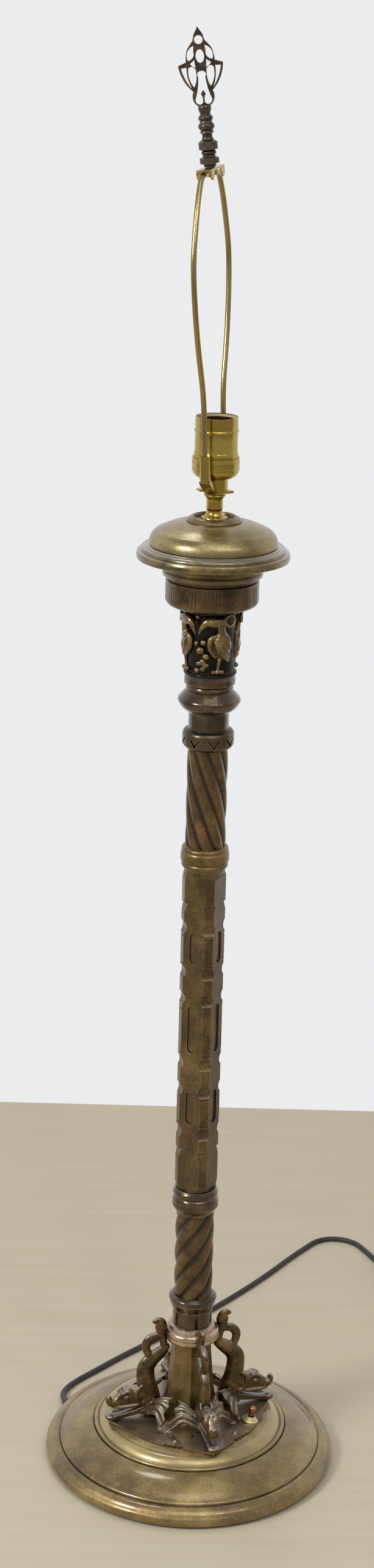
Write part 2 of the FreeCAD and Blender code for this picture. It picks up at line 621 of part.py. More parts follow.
# Zigzag collar: a barrel ring with slanted cuts
zigzag_height = zigzag_top_z - upper_twist_top_z
zigzag_shares = [(0.83, 0), (0.90, 0.06, 1.0, 0.27), (1.0, 0.73), (0.94, 0.93, 0.86, 1.0)]
zigzag = turned(zigzag_shares, zigzag_radius, upper_twist_top_z, zigzag_height, rod_radius + rod_gap)
zigzag_count = 8
zigzag_azimuth = 13.0
zigzag_slant = 42.0
zigzag_cut_width = 1.6
zigzag_cut_length = zigzag_height * 0.56
dot_size = 1.9
zigzag_cuts = []
for k in range(zigzag_count):
    bottom = zigzag_azimuth + k * full_turn / zigzag_count
    for way in (-1, 1):
        cut = Part.makeBox(zigzag_cut_width, groove_depth + overrun, zigzag_cut_length,
                           V(-zigzag_cut_width / 2, -zigzag_radius - overrun, 0))
        cut.rotate(V(), AHEAD, way * zigzag_slant)
        cut.translate(V(way * zigzag_cut_width * 0.7, 0, upper_twist_top_z + zigzag_height * 0.24))
        zigzag_cuts.append(turned_copy(cut, bottom))
    for azimuth, z_share, point in ((bottom, 0.79, -1), (bottom + full_turn / zigzag_count / 2, 0.22, 1)):
        corners = [V(-dot_size / 2, 0, 0), V(dot_size / 2, 0, 0), V(0, 0, point * dot_size)]
        dot = Part.Face(Part.makePolygon(corners + corners[:1])).extrude(AHEAD * zigzag_radius)
        dot.translate(V(0, -zigzag_radius + groove_depth, upper_twist_top_z + zigzag_height * z_share))
        zigzag_cuts.append(turned_copy(dot, azimuth))
put("zigzag_collar", zigzag.cut(zigzag_cuts))

torus_height = torus_top_z - zigzag_top_z
torus_shares = [(0.652, 0), (0.652, 0.42), (0.70, 0.45, 0.78, 0.49), (0.93, 0.60, 0.985, 0.68),
                (1.01, 0.74, 0.965, 0.82), (0.88, 0.90), (0.78, 0.98), (0.75, 1.0)]
put("torus_ring", turned(torus_shares, torus_radius, zigzag_top_z, torus_height, rod_radius + rod_gap))
cushion_height = cushion_top_z - torus_top_z
cushion_shares = [(0.90, 0), (0.93, 0.12, 0.89, 0.27), (0.90, 0.30), (1.0, 0.42), (1.005, 0.62, 0.985, 0.85),
                  (0.96, 1.0)]
put("cushion_ring", turned(cushion_shares, cushion_radius, torus_top_z, cushion_height,
                           rod_radius + rod_gap))

# Capital: a dark core with a beaded ring below, a flared rim above, four birds and their grapes
ring_height = capital_ring_top_z - cushion_top_z
ring_shares = [(0.89, 0), (0.92, 0.10), (1.0, 0.40, 0.93, 0.72), (0.86, 1.0)]
capital_ring = turned(ring_shares, capital_ring_radius, cushion_top_z, ring_height, capital_core_radius)
capital_height = capital_top_z - cushion_top_z
put("capital_core", tube(capital_core_radius, rod_radius + rod_gap, cushion_top_z, capital_height))
rim_height = capital_top_z - capital_rim_z
rim_shares = [(0.80, 0), (0.93, 0.22, 1.0, 0.52), (0.985, 0.72, 0.93, 1.0)]
capital_rim = turned(rim_shares, capital_rim_radius, capital_rim_z, rim_height, capital_core_radius)
bird_shares = [(-0.385, 0.655), (-0.37, 0.77, -0.27, 0.85), (-0.20, 0.935, -0.05, 0.95), (0.30, 0.945),
               (0.55, 0.80), (0.62, 0.70), (0.74, 0.60), (0.80, 0.42, 0.80, 0.24), (0.74, 0.17),
               (0.52, 0.10, 0.29, 0.15), (0.10, 0.22, 0.02, 0.33), (-0.09, 0.47, -0.05, 0.56),
               (0.04, 0.61, 0.13, 0.62), (0.17, 0.67, 0.22, 0.76), (0.08, 0.775, -0.04, 0.755),
               (-0.22, 0.745, -0.385, 0.655)]
bird_base_z = capital_ring_top_z - ring_height * 0.1
bird_height = capital_top_z - bird_base_z


def on_bird(side_share, up_share):
    """Point of a bird's outline on an upright plane through the axis."""
    return V(capital_radius * side_share, 0, bird_base_z + bird_height * up_share)


bird_face = Part.Face(Part.Wire(path_edges(bird_shares, on_bird)))
bird = bird_face.extrude(AHEAD * (capital_radius * 1.2))
bird_ring_radius = capital_radius * 0.19
bird_ring_centre = on_bird(0.68, 0.86)
bird = bird.fuse(Part.makeCylinder(bird_ring_radius, capital_radius * 1.2, bird_ring_centre, AHEAD))
bird = bird.cut(Part.makeCylinder(bird_ring_radius * 0.5, capital_radius * 1.2, bird_ring_centre, AHEAD))
wall_shares = [(0.80, 0), (0.89, 0.25, 0.90, 0.50), (0.87, 0.62), (0.95, 0.70), (1.0, 0.80, 0.985, 0.92),
               (0.93, 1.0)]
bird_wall = turned(wall_shares, capital_flare_radius, capital_ring_top_z, capital_top_z - capital_ring_top_z,
                   capital_core_radius)
seam_angle = 0.8
bird_sector = Part.makeCylinder(cornice_radius, cornice_top_z, V(), UP, full_turn / 4 - 2 * seam_angle)
bird_sector = turned_copy(bird_sector, pair_azimuth + seam_angle - full_turn / 4)
feather_depth = 0.9
feather_lines = [[(0.22, 0.52), (0.48, 0.42), (0.70, 0.40)], [(0.20, 0.42), (0.42, 0.30), (0.70, 0.27)],
                 [(0.26, 0.31), (0.42, 0.21), (0.62, 0.17)], [(-0.33, 0.73), (-0.22, 0.80), (-0.11, 0.79)]]
feather_outer = turned([(1.02, 0), (1.02, 1.0)], capital_flare_radius, capital_ring_top_z, bird_height, 0)
feather_inner = turned([(0.83, 0), (0.83, 1.0)], capital_flare_radius, capital_ring_top_z - overrun,
                       bird_height + 2 * overrun, 0)
feather_shell = feather_outer.cut(feather_inner)
feather_cuts = []
for line in feather_lines:
    for a, b in zip(line, line[1:]):
        low, high = on_bird(*a), on_bird(*b)
        sideways = high.sub(low).normalize().cross(AHEAD) * (feather_depth / 2)
        corners = [low.sub(sideways), high.sub(sideways), high.add(sideways), low.add(sideways)]
        groove = Part.Face(Part.makePolygon(corners + corners[:1])).extrude(AHEAD * (capital_radius * 1.2))
        feather_cuts.append(groove.common(feather_shell))
bird = bird.common(bird_wall).common(bird_sector).cut([capital_rim, capital_ring] + feather_cuts)
eye = on_bird(0.0, 0.865)
eye_seat = polar(capital_flare_radius * 0.985, 0, eye.z)
bird = bird.fuse(Part.makeSphere(capital_radius * 0.055, eye_seat))
mirror_normal = polar(1, pair_azimuth + full_turn / 4, 0)
facing = bird.mirror(V(), mirror_normal)
bird_shapes = (bird, facing, turned_copy(bird, full_turn / 2), turned_copy(facing, full_turn / 2))
for k, shape in enumerate(bird_shapes):
    put("capital_bird_" + str(k + 1), largest(shape))
put("capital_ring", capital_ring)
put("capital_rim", capital_rim)
grape_shares = [(-5, 0.46, 0.085), (12, 0.47, 0.105), (6, 0.34, 0.130), (18, 0.235, 0.110),
                (-1, 0.90, 0.095), (-4, 0.05, 0.090), (10, 0.05, 0.090), (34, 0.04, 0.085),
                (43, 0.04, 0.085), (53, 0.04, 0.085)]
grapes = []
for half in range(2):
    for side, up_share, size_share in grape_shares:
        azimuth = pair_azimuth + side + half * full_turn / 2
        size = size_share * capital_radius
        centre = polar(capital_core_radius + size * 0.8, azimuth, bird_base_z + bird_height * up_share)
        grape = Part.makeSphere(size, centre).cut(tube(capital_core_radius, 0, cushion_top_z, capital_top_z))
        grapes.append(grape.cut([capital_ring, capital_rim] + list(bird_shapes)))
put("grape_clusters", Part.makeCompound(grapes))

# Drum with twelve groups of three flutes, cornice, hollow dome and check ring
drum_height = drum_top_z - capital_top_z
drum_shares = [(0.62, 0), (0.80, 0.07), (0.97, 0.15, 1.0, 0.32), (1.0, 0.86), (0.96, 0.90), (0.98, 1.0)]
drum = turned(drum_shares, drum_radius, capital_top_z, drum_height, rod_radius + rod_gap)
flute_step = 4.5
flutes = []
for k in range(flute_groups):
    for offset in (-1, 0, 1):
        azimuth = 5.0 + k * full_turn / flute_groups + offset * flute_step
        spot = polar(drum_radius + flute_radius * 0.25, azimuth, capital_top_z + drum_height * 0.12)
        flutes.append(Part.makeCylinder(flute_radius, drum_height * 0.68, spot))
put("drum", drum.cut(flutes))
cornice_height = cornice_top_z - drum_top_z
cornice_shares = [(0.64, 0), (0.66, 0.04), (0.662, 0.14), (0.645, 0.18), (0.74, 0.38, 0.95, 0.52),
                  (1.0, 0.56), (1.005, 0.66, 0.99, 0.78), (0.955, 0.80), (0.94, 0.90, 0.89, 0.92),
                  (0.865, 0.97), (0.80, 1.0)]
cornice = turned(cornice_shares, cornice_radius, drum_top_z, cornice_height, rod_radius + rod_gap)
put("cornice", cornice)
dome_height = dome_top_z - cornice_top_z
dome_shares = [(1.0, 0), (0.985, 0.30, 0.83, 0.68), (0.66, 0.88, 0.46, 1.0)]
dome = turned(dome_shares, dome_radius, cornice_top_z, dome_height, rod_radius + rod_gap)
dome_inside = turned(dome_shares, dome_radius - dome_wall, cornice_top_z - dome_wall, dome_height, 0)
dome_inside = dome_inside.common(tube(dome_radius, 0, cornice_top_z - overrun, dome_height))
put("dome_cap", dome.cut(dome_inside))
check_shares = [(1.0, 0), (1.0, 0.25), (0.90, 0.72, 0.77, 1.0), (0.735, 0.80), (0.715, 0.30), (0.50, 0.22)]
check_ring = turned(check_shares, check_ring_radius, dome_top_z, check_ring_height, rod_radius + rod_gap)
put("check_ring", check_ring)
riser_base_z = dome_top_z + check_ring_height * 0.22
riser_shares = [(0.98, 0), (1.0, 0.05, 0.97, 0.11), (0.68, 0.19, 0.62, 0.42), (0.60, 0.74),
                (0.66, 0.80, 0.76, 0.85), (0.80, 0.885, 0.78, 0.92), (0.73, 0.94), (0.73, 1.0)]
riser_height = riser_top_z - riser_base_z
put("riser", turned(riser_shares, riser_radius, riser_base_z, riser_height, rod_radius + rod_gap))

# Saddle, harp and ferrules share one plane that leans a little to the left
saddle_z = riser_top_z


def in_harp(shape):
    """Place a shape, made with the harp in the XZ plane and its foot at the origin."""
    placed = shape.copy().rotated(V(), UP, harp_azimuth - full_turn / 4)
    placed = placed.rotated(V(), polar(1, harp_azimuth, 0), harp_lean)
    placed.translate(V(0, 0, saddle_z))
    return placed


def harp_point(out, up):
    """Point in the harp's own plane."""
    return V(out, 0, up)


plate_half = saddle_tab_reach * 0.78
arm_lift = ferrule_rest_height - saddle_thickness
saddle_plate = Part.makeBox(2 * plate_half, saddle_arm_width, saddle_thickness,
                            V(-plate_half, -saddle_arm_width / 2, 0))
tab_points = [V(-saddle_arm_width * 0.5, -saddle_tab_reach * 0.75, 0), V(0, -saddle_tab_reach, 0),
              V(saddle_arm_width * 0.5, -saddle_tab_reach * 0.75, 0), V(saddle_arm_width * 0.7, 0, 0),
              V(saddle_arm_width * 0.5, saddle_tab_reach * 0.75, 0), V(0, saddle_tab_reach, 0),
              V(-saddle_arm_width * 0.5, saddle_tab_reach * 0.75, 0), V(-saddle_arm_width * 0.7, 0, 0)]
tabs = Part.Face(Part.makePolygon(tab_points + tab_points[:1])).extrude(UP * saddle_thickness)
seat_plate = saddle_plate.fuse(tabs)
seat_plate = seat_plate.rotated(V(), UP, harp_azimuth - full_turn / 4)
seat_plate.translate(V(0, 0, saddle_z))
arms = []
for way in (-1, 1):
    arm_points = [(plate_half - saddle_thickness, 0), (plate_half, 0),
                  (harp_foot_offset, arm_lift - saddle_thickness),
                  (harp_foot_offset + harp_wire_radius, arm_lift),
                  (harp_foot_offset + harp_wire_radius, ferrule_rest_height),
                  (harp_foot_offset - harp_wire_radius, ferrule_rest_height),
                  (plate_half - saddle_thickness, saddle_thickness * 1.6)]
    corners = [harp_point(way * out, up) for out, up in arm_points]
    arm = Part.Face(Part.makePolygon(corners + corners[:1])).extrude(V(0, saddle_arm_width, 0))
    arm.translate(V(0, -saddle_arm_width / 2, 0))
    post = Part.makeCylinder(harp_wire_radius, post_height - ferrule_rest_height + overrun,
                             harp_point(way * harp_foot_offset, ferrule_rest_height - overrun))
    arms += [in_harp(arm), in_harp(post)]
saddle = seat_plate.fuse(arms)
saddle = saddle.cut(tube(rod_radius + rod_gap, 0, saddle_z - overrun, saddle_thickness + 3 * overrun))
saddle = saddle.cut(tube(riser_radius, 0, saddle_z - riser_radius, riser_radius))

# Each leg is one bent wire: straight in the ferrule, bowed out, drawn in and hooked under the plate
leg_foot_z = post_height + ferrule_gap
straight_top_z = ferrule_rest_height + ferrule_gap + ferrule_length + ferrule_travel
bow_height = harp_height - straight_top_z
bow_shares = [(0.553, 0.081), (0.60, 0.179), (0.725, 0.277), (0.86, 0.387), (0.96, 0.510), (1.0, 0.602),
              (0.985, 0.6875), (0.88, 0.779), (0.745, 0.865), (0.60, 0.933), (0.44, 0.973), (0.36, 0.978),
              (0.22, 0.978)]
for way, name in ((1, "harp_leg_front"), (-1, "harp_leg_back")):
    leg_line = [harp_point(way * harp_foot_offset, z) for z in (leg_foot_z, straight_top_z)]
    leg_line += [harp_point(way * harp_half_width * out, straight_top_z + bow_height * up)
                 for out, up in bow_shares]
    curve = Part.BSplineCurve()
    curve.interpolate(Points=leg_line, InitialTangent=UP, FinalTangent=SIDE * -way)
    section = Part.Wire(Part.makeCircle(harp_wire_radius, leg_line[0], UP))
    leg = Part.Wire(curve.toShape()).makePipeShell([section], True, False)
    made[name] = in_harp(leg)
    ferrule = Part.makeCylinder(ferrule_radius, ferrule_length,
                                harp_point(way * harp_foot_offset, ferrule_rest_height + ferrule_gap))
    ferrule = ferrule.cut(Part.makeCylinder(harp_wire_radius + ferrule_gap, ferrule_length * 2,
                                            harp_point(way * harp_foot_offset,
                                                       ferrule_rest_height - overrun)))
    put(name.replace("harp_leg", "harp_ferrule"), in_harp(ferrule))
put("harp_saddle", saddle)

# The top plate and the finial lean further over than the legs do
harp_top = in_harp(Part.Vertex(V(0, 0, harp_height))).Point


def on_top(shape):
    """Place a shape, made upright over the origin, on the harp's leaning top plate."""
    placed = shape.copy().rotated(V(), AHEAD, finial_lean)
    placed.translate(harp_top)
    return placed


half_length = harp_plate_length / 2
half_width = harp_plate_width / 2
ear_depth = harp_plate_width * 0.6
outline = [V(-half_length, -half_width * 0.35, 0), V(-half_length * 0.8, -half_width, 0),
           V(half_length * 0.8, -half_width, 0), V(half_length, -half_width * 0.35, 0),
           V(half_length, half_width * 0.35, 0), V(half_length * 0.8, half_width, 0),
           V(-half_length * 0.8, half_width, 0), V(-half_length, half_width * 0.35, 0)]
top_plate = Part.Face(Part.makePolygon(outline + outline[:1])).extrude(UP * harp_plate_thickness)
top_plate.translate(UP * -harp_plate_thickness)
ears = []
for way in (-1, 1):
    for edge in (-1, 1):
        inner, outer = V(way * half_length * 0.35, 0, 0), V(way * half_length * 0.8, 0, 0)
        bulge = V(way * half_length * 0.72, 0, -ear_depth * 0.8)
        tip = V(way * half_length * 0.55, 0, -ear_depth)
        ear_edges = [Part.makeLine(inner, outer), Part.Arc(outer, bulge, tip).toShape(),
                     Part.makeLine(tip, inner)]
        ear = Part.Face(Part.Wire(ear_edges)).extrude(V(0, harp_plate_thickness, 0))
        offset = edge * half_width - (harp_plate_thickness if edge > 0 else 0)
        ear.translate(V(0, offset, -harp_plate_thickness))
        ears.append(ear)
top_plate = top_plate.fuse(ears)
top_plate = turned_copy(top_plate, harp_azimuth - full_turn / 4)
top_plate = on_top(top_plate.cut(Part.makeCylinder(stud_radius, 2 * ear_depth, V(0, 0, -ear_depth))))
for name in ("harp_leg_front", "harp_leg_back"):
    put(name, made[name].cut(top_plate))
put("harp_top_plate", top_plate)
stud_head = Part.makeCylinder(stud_radius * 1.6, harp_plate_thickness, V(0, 0, -2 * harp_plate_thickness))
stud_reach = stud_length + 2 * harp_plate_thickness
stud = Part.makeCylinder(stud_radius, stud_reach, V(0, 0, -2 * harp_plate_thickness))
put("finial_stud", on_top(stud.fuse(stud_head)).cut([made["harp_leg_front"], made["harp_leg_back"]]))

# Finial: a turned stem with two milled rings, under a pierced flat top
stem_shares = [(0.50, 0), (0.66, 0.015), (0.66, 0.055), (1.0, 0.06), (1.0, 0.15), (0.72, 0.17), (0.60, 0.20),
               (0.78, 0.235, 0.60, 0.27), (0.98, 0.29), (0.98, 0.41), (0.68, 0.44), (0.52, 0.50, 0.55, 0.54),
               (0.72, 0.56), (0.70, 0.58), (0.60, 0.60), (0.84, 0.665, 0.66, 0.72), (0.62, 0.75),
               (0.76, 0.80, 0.56, 0.845), (0.54, 0.88), (0.66, 0.93), (0.68, 0.975), (0.60, 1.0)]
stem = turned(stem_shares, finial_collar_radius, finial_gap, finial_stem_height, 0)
stem = stem.cut(Part.makeCylinder(stud_radius + finial_gap, stud_length + finial_gap))
mill_count = 18
for low_share in (0.055, 0.285):
    for k in range(mill_count):
        spot = polar(finial_collar_radius + flute_radius * 0.45, k * full_turn / mill_count,
                     finial_stem_height * low_share)
        stem = stem.cut(Part.makeCylinder(flute_radius, finial_stem_height * 0.14, spot))


def on_finial(side_share, up_share):
    """Point in the flat plane of the pierced top."""
    return V(finial_half_width * side_share, -finial_thickness / 2, finial_height * up_share)


def slab(shares, mirrored):
    """Flat plate or hole through the pierced top, from shares of its half width and height."""
    way = -1 if mirrored else 1
    edges = path_edges(shares, lambda a, b: on_finial(way * a, b))
    return Part.Face(Part.Wire(edges)).extrude(V(0, finial_thickness, 0))


top_shares = [(0, 0.43), (0.24, 0.437), (0.45, 0.475, 0.43, 0.545), (0.85, 0.64, 1.0, 0.735),
              (0.64, 0.755), (0.62, 0.80, 0.54, 0.845), (0.40, 0.875, 0.27, 0.90), (0.20, 0.945),
              (0.09, 0.972), (0, 1.0), (0, 0.43)]
lobe_hole_shares = [(0.25, 0.865), (0.45, 0.845, 0.545, 0.765), (0.38, 0.775, 0.27, 0.80),
                    (0.27, 0.835, 0.25, 0.865)]
small_hole_shares = [(0.26, 0.765), (0.46, 0.742), (0.36, 0.722, 0.23, 0.715), (0.26, 0.74, 0.26, 0.765)]
inner_hole_shares = [(0.24, 0.685), (0.42, 0.72, 0.55, 0.712), (0.55, 0.64, 0.37, 0.575),
                     (0.26, 0.62, 0.24, 0.685)]
outer_hole_shares = [(0.64, 0.718), (0.88, 0.715), (0.74, 0.64, 0.465, 0.565), (0.62, 0.64, 0.64, 0.718)]
vase_hole_shares = [(0, 0.685), (0.12, 0.682, 0.155, 0.645), (0.20, 0.58, 0.335, 0.50),
                    (0.32, 0.462, 0.13, 0.452), (0.04, 0.465), (0.04, 0.50), (0.115, 0.524), (0, 0.553),
                    (0, 0.685)]
pierced = slab(top_shares, False).fuse(slab(top_shares, True))
for hole_shares in (lobe_hole_shares, small_hole_shares, inner_hole_shares, outer_hole_shares,
                    vase_hole_shares):
    pierced = pierced.cut([slab(hole_shares, False), slab(hole_shares, True)])
ring_hole_radius = finial_half_width * 0.185
ring_hole = Part.makeCylinder(ring_hole_radius, finial_thickness * 2, on_finial(0, 0.905), AHEAD * -1)
oval_hole = Part.Face(Part.Wire(Part.Ellipse(V(), finial_height * 0.047, ring_hole_radius).toShape()))
oval_hole.rotate(V(), V(0, 1, 0), full_turn / 4)
oval_hole.rotate(V(), UP, full_turn / 4)
oval_hole.translate(on_finial(0, 0.79).sub(V(0, finial_thickness, 0)))
oval_cut = oval_hole.extrude(V(0, finial_thickness * 3, 0))
pierced = pierced.cut([ring_hole, oval_cut])
finial = stem.fuse(pierced).removeSplitter()
put("finial", on_top(finial))

# Lampholder: cap, shell, paper liner, porcelain core, screw shell, contact and two terminals
cap_height = socket_cap_top_z - socket_bottom_z
cap_shares = [(0.53, 0), (0.53, 0.34), (0.64, 0.36), (0.93, 0.50, 0.99, 0.72), (1.0, 0.85), (0.985, 1.0)]
cap = turned(cap_shares, socket_cap_radius, socket_bottom_z, cap_height, 0)
cap_cavity = turned([(0.30, 0.38), (0.60, 0.42), (0.87, 0.56, 0.93, 0.72), (0.945, 0.85), (0.945, 1.1)],
                    socket_cap_radius, socket_bottom_z, cap_height, 0)
cap = cap.cut(cap_cavity).cut(tube(rod_radius, 0, socket_bottom_z - overrun, cap_height))
put("socket_cap", cap)
shell_bottom_z = socket_cap_top_z - cap_height * 0.16
shell_height = socket_top_z - shell_bottom_z
shell_shares = [(1.035, 0), (1.045, 0.16), (1.035, 0.20, 1.0, 0.245), (1.0, 0.66),
                (1.045, 0.70, 1.0, 0.74), (1.0, 1.0)]
shell = turned(shell_shares, socket_shell_radius, shell_bottom_z, shell_height, 0)
liner_radius = socket_shell_radius - sheet_wall
shell = shell.cut(tube(liner_radius, 0, shell_bottom_z - overrun, shell_height + 2 * overrun))
put("socket_shell", shell)
put("socket_liner", tube(liner_radius, liner_radius - liner_wall, shell_bottom_z, shell_height - sheet_wall))
core_radius = liner_radius - liner_wall
core_top_z = screw_shell_bottom_z
core = tube(core_radius * 0.93, 0, core_bottom_z, shell_bottom_z - core_bottom_z)
core = core.fuse(tube(core_radius, 0, shell_bottom_z, core_top_z - shell_bottom_z))
screw_shell = tube(screw_shell_radius, screw_shell_radius - sheet_wall, screw_shell_bottom_z,
                   socket_top_z - screw_shell_bottom_z - 3 * sheet_wall)
screw_shell = screw_shell.fuse(tube(screw_shell_radius, contact_width, screw_shell_bottom_z, sheet_wall))
put("screw_shell", screw_shell)
contact_top_z = screw_shell_bottom_z + sheet_wall * 0.7
contact = Part.makeCylinder(contact_width / 2, sheet_wall * 3, V(0, 0, contact_top_z - sheet_wall * 3))
put("centre_contact", contact)
terminal_z = (core_bottom_z + shell_bottom_z) / 2
terminals = []
for way in (-1, 1):
    outward = polar(way, harp_azimuth + full_turn / 4, 0)
    start = outward * (core_radius * 0.93 - terminal_height * 0.5)
    start.z = terminal_z
    core_cut = Part.makeCylinder(terminal_radius, terminal_height * 0.6, start, outward)
    terminals.append(core_cut)
put("socket_core", core.cut(terminals + [contact]))
put("terminal_screws", Part.makeCompound(terminals))
leads = []
for way in (-1, 1):
    lead_foot = V(way * (wire_radius + finial_gap), 0, rod_bottom_z)
    leads.append(Part.makeCylinder(wire_radius, core_bottom_z - rod_bottom_z, lead_foot))
put("lamp_wires", Part.makeCompound(leads))

# Lead: free stretch on the floor, put-away coil, tail and plug


def rounded_route(points):
    """Straight runs joined by tangent arcs, as one wire, with its smallest radius."""
    route = [V(p) for p in points]
    edges = []
    least = None
    here = route[0]
    for k in range(1, len(route) - 1):
        back = route[k - 1].sub(route[k])
        on = route[k + 1].sub(route[k])
        run = min(back.Length, on.Length)
        half_turn = (math.pi - back.getAngle(on)) / 2
        radius = 0.45 * run / math.tan(half_turn)
        least = radius if least is None else min(least, radius)
        reach = 0.45 * run
        back.normalize()
        on.normalize()
        start = route[k].add(back * reach)
        end = route[k].add(on * reach)
        inward = back.add(on).normalize()
        middle = route[k].add(inward * (radius / math.cos(half_turn) - radius))
        edges.append(Part.makeLine(here, start))
        edges.append(Part.Arc(start, middle, end).toShape())
        here = end
    edges.append(Part.makeLine(here, route[-1]))
    return Part.Wire(edges), least


def swept_lead(path):
    """Round lead along a path."""
    edge = path.Edges[0]
    heading = edge.tangentAt(edge.FirstParameter)
    section = Part.Wire(Part.makeCircle(cord_radius, edge.valueAt(edge.FirstParameter), heading))
    return path.makePipeShell([section], True, False)


def report_tube(name, shape, path, least):
    """Print a tube's length, its smallest radius and how true its volume is."""
    length = path.Length
    ideal = math.pi * cord_radius ** 2 * length
    print(name, "length", round(length, 1), "least radius", round(least, 1),
          "volume over section times length", round(shape.Volume / ideal, 4))


run_path, run_least = rounded_route(cord_route)
run = swept_lead(run_path)
report_tube("cord_run", run, run_path, run_least)
put("cord_run", run)
tail_path, tail_least = rounded_route(tail_route)
tail = swept_lead(tail_path)
report_tube("cord_tail", tail, tail_path, tail_least)
put("cord_tail", tail)

coil_start = cord_route[-1]
start_angle = math.radians(coil_start_azimuth)
coil_centre = coil_start.sub(V(math.cos(start_angle), math.sin(start_angle), 0) * coil_outer_radius)
layer_pitch = (tail_route[0][2] - coil_start.z) / (coil_layers - 1)
total_turns = coil_layers * turns_per_layer


def coil_point(turns):
    """Point of the coil after a number of turns: it winds in and out, and climbs where it reverses."""
    layer_place = turns / turns_per_layer
    fold = layer_place % 2
    inward = fold if fold <= 1 else 2 - fold
    radius = coil_outer_radius - coil_pitch * turns_per_layer * inward
    layer = 0.0
    for k in range(1, coil_layers):
        climb = (turns - (k * turns_per_layer - 0.25)) / 0.5
        climb = min(max(climb, 0), 1)
        layer += (1 - math.cos(math.pi * climb)) / 2
    angle = start_angle + 2 * math.pi * turns
    return coil_centre.add(V(radius * math.cos(angle), radius * math.sin(angle), layer * layer_pitch))


def coil_heading(turns):
    """Direction of the coil, taken flat at its ends so that it meets its neighbours squarely."""
    small = 0.002
    low = max(turns - small, 0)
    high = min(turns + small, total_turns)
    heading = coil_point(high).sub(coil_point(low))
    return heading.normalize()


def biarc(a, heading_a, b, heading_b):
    """Two arcs that leave a point and reach another in given directions."""
    span = b.sub(a)
    both = heading_a.add(heading_b)
    square = 2 * (1 - heading_a.dot(heading_b))
    dot = span.dot(both)
    reach = (-dot + math.sqrt(dot * dot + square * span.dot(span))) / square
    join_a = a.add(heading_a * reach)
    join_b = b.sub(heading_b * reach)
    joint = join_a.add(join_b) * 0.5
    edges = []
    for p, corner, q in ((a, join_a, joint), (joint, join_b, b)):
        to_p = p.sub(corner).normalize()
        to_q = q.sub(corner).normalize()
        half = to_p.getAngle(to_q) / 2
        radius = p.distanceToPoint(corner) * math.tan(half)
        inward = to_p.add(to_q).normalize()
        middle = corner.add(inward * (radius / math.sin(half) - radius))
        edges.append(Part.Arc(p, middle, q).toShape())
    return edges


coil_edges = []
quarters = int(total_turns * 4)
for k in range(quarters):
    a, b = k / 4, (k + 1) / 4
    coil_edges += biarc(coil_point(a), coil_heading(a), coil_point(b), coil_heading(b))
coil_path = Part.Wire(coil_edges)
coil = swept_lead(coil_path)
report_tube("cord_coil", coil, coil_path, coil_outer_radius - coil_pitch * turns_per_layer)
least_gap = None
samples = [coil_point(k / 24) for k in range(int(total_turns * 24) + 1)]
for k, p in enumerate(samples):
    for q in samples[k + 12:]:
        gap = p.distanceToPoint(q) - 2 * cord_radius
        least_gap = gap if least_gap is None else min(least_gap, gap)
print("coil's least gap to itself", round(least_gap, 2))
put("cord_coil", coil)

# Plug, lying on the floor, and the bushing in the rim
plug_start = V(*tail_route[-1])
plug_way = plug_start.sub(V(*tail_route[-2])).normalize()
plug_side = plug_way.cross(UP)
plug_shares = [(0, 0.26, 0.60), (0.30, 0.34, 0.80), (0.62, 0.90, 1.0), (1.0, 1.0, 1.0)]
plug_wires = []
for along, wide, high in plug_shares:
    centre = plug_start.add(plug_way * (plug_length * along))
    half_w = plug_width * wide / 2
    half_h = plug_height * high / 2
    bevel = half_h * 0.4
    section_points = [(-half_w, -half_h + bevel), (-half_w + bevel, -half_h), (half_w - bevel, -half_h),
                      (half_w, -half_h + bevel), (half_w, half_h - bevel), (half_w - bevel, half_h),
                      (-half_w + bevel, half_h), (-half_w, half_h - bevel)]
    corners = [centre.add(plug_side * a).add(UP * b) for a, b in section_points]
    plug_wires.append(Part.makePolygon(corners + corners[:1]))
put("plug_body", Part.makeLoft(plug_wires, True, True))
blades = []
plug_end = plug_start.add(plug_way * plug_length)
for way in (-1, 1):
    across_plug = way * blade_spacing / 2 - blade_thickness / 2
    corner = plug_end.add(plug_side * across_plug).sub(UP * (blade_width / 2))
    face_points = [corner, corner.add(plug_side * blade_thickness),
                   corner.add(plug_side * blade_thickness).add(UP * blade_width),
                   corner.add(UP * blade_width)]
    blade_face = Part.Face(Part.makePolygon(face_points + face_points[:1]))
    blades.append(blade_face.extrude(plug_way * blade_length))
put("plug_blades", Part.makeCompound(blades))
bushing = Part.makeCylinder(bushing_radius, bushing_length, bushing_start, exit_heading)
bushing_cone = Part.makeCone(bushing_radius, cord_radius * 1.2, bushing_cone_length, exit_point,
                             exit_heading)
bushing = bushing.fuse(bushing_cone)
bore_start = bushing_start.sub(exit_heading * overrun)
bushing_bore = Part.makeCylinder(cord_radius, bushing_length * 2, bore_start, exit_heading)
put("cord_bushing", bushing.cut(bushing_bore))
print("nodes", len(made))
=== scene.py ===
import json
import math
import bmesh
import bpy
from mathutils import Matrix, Vector


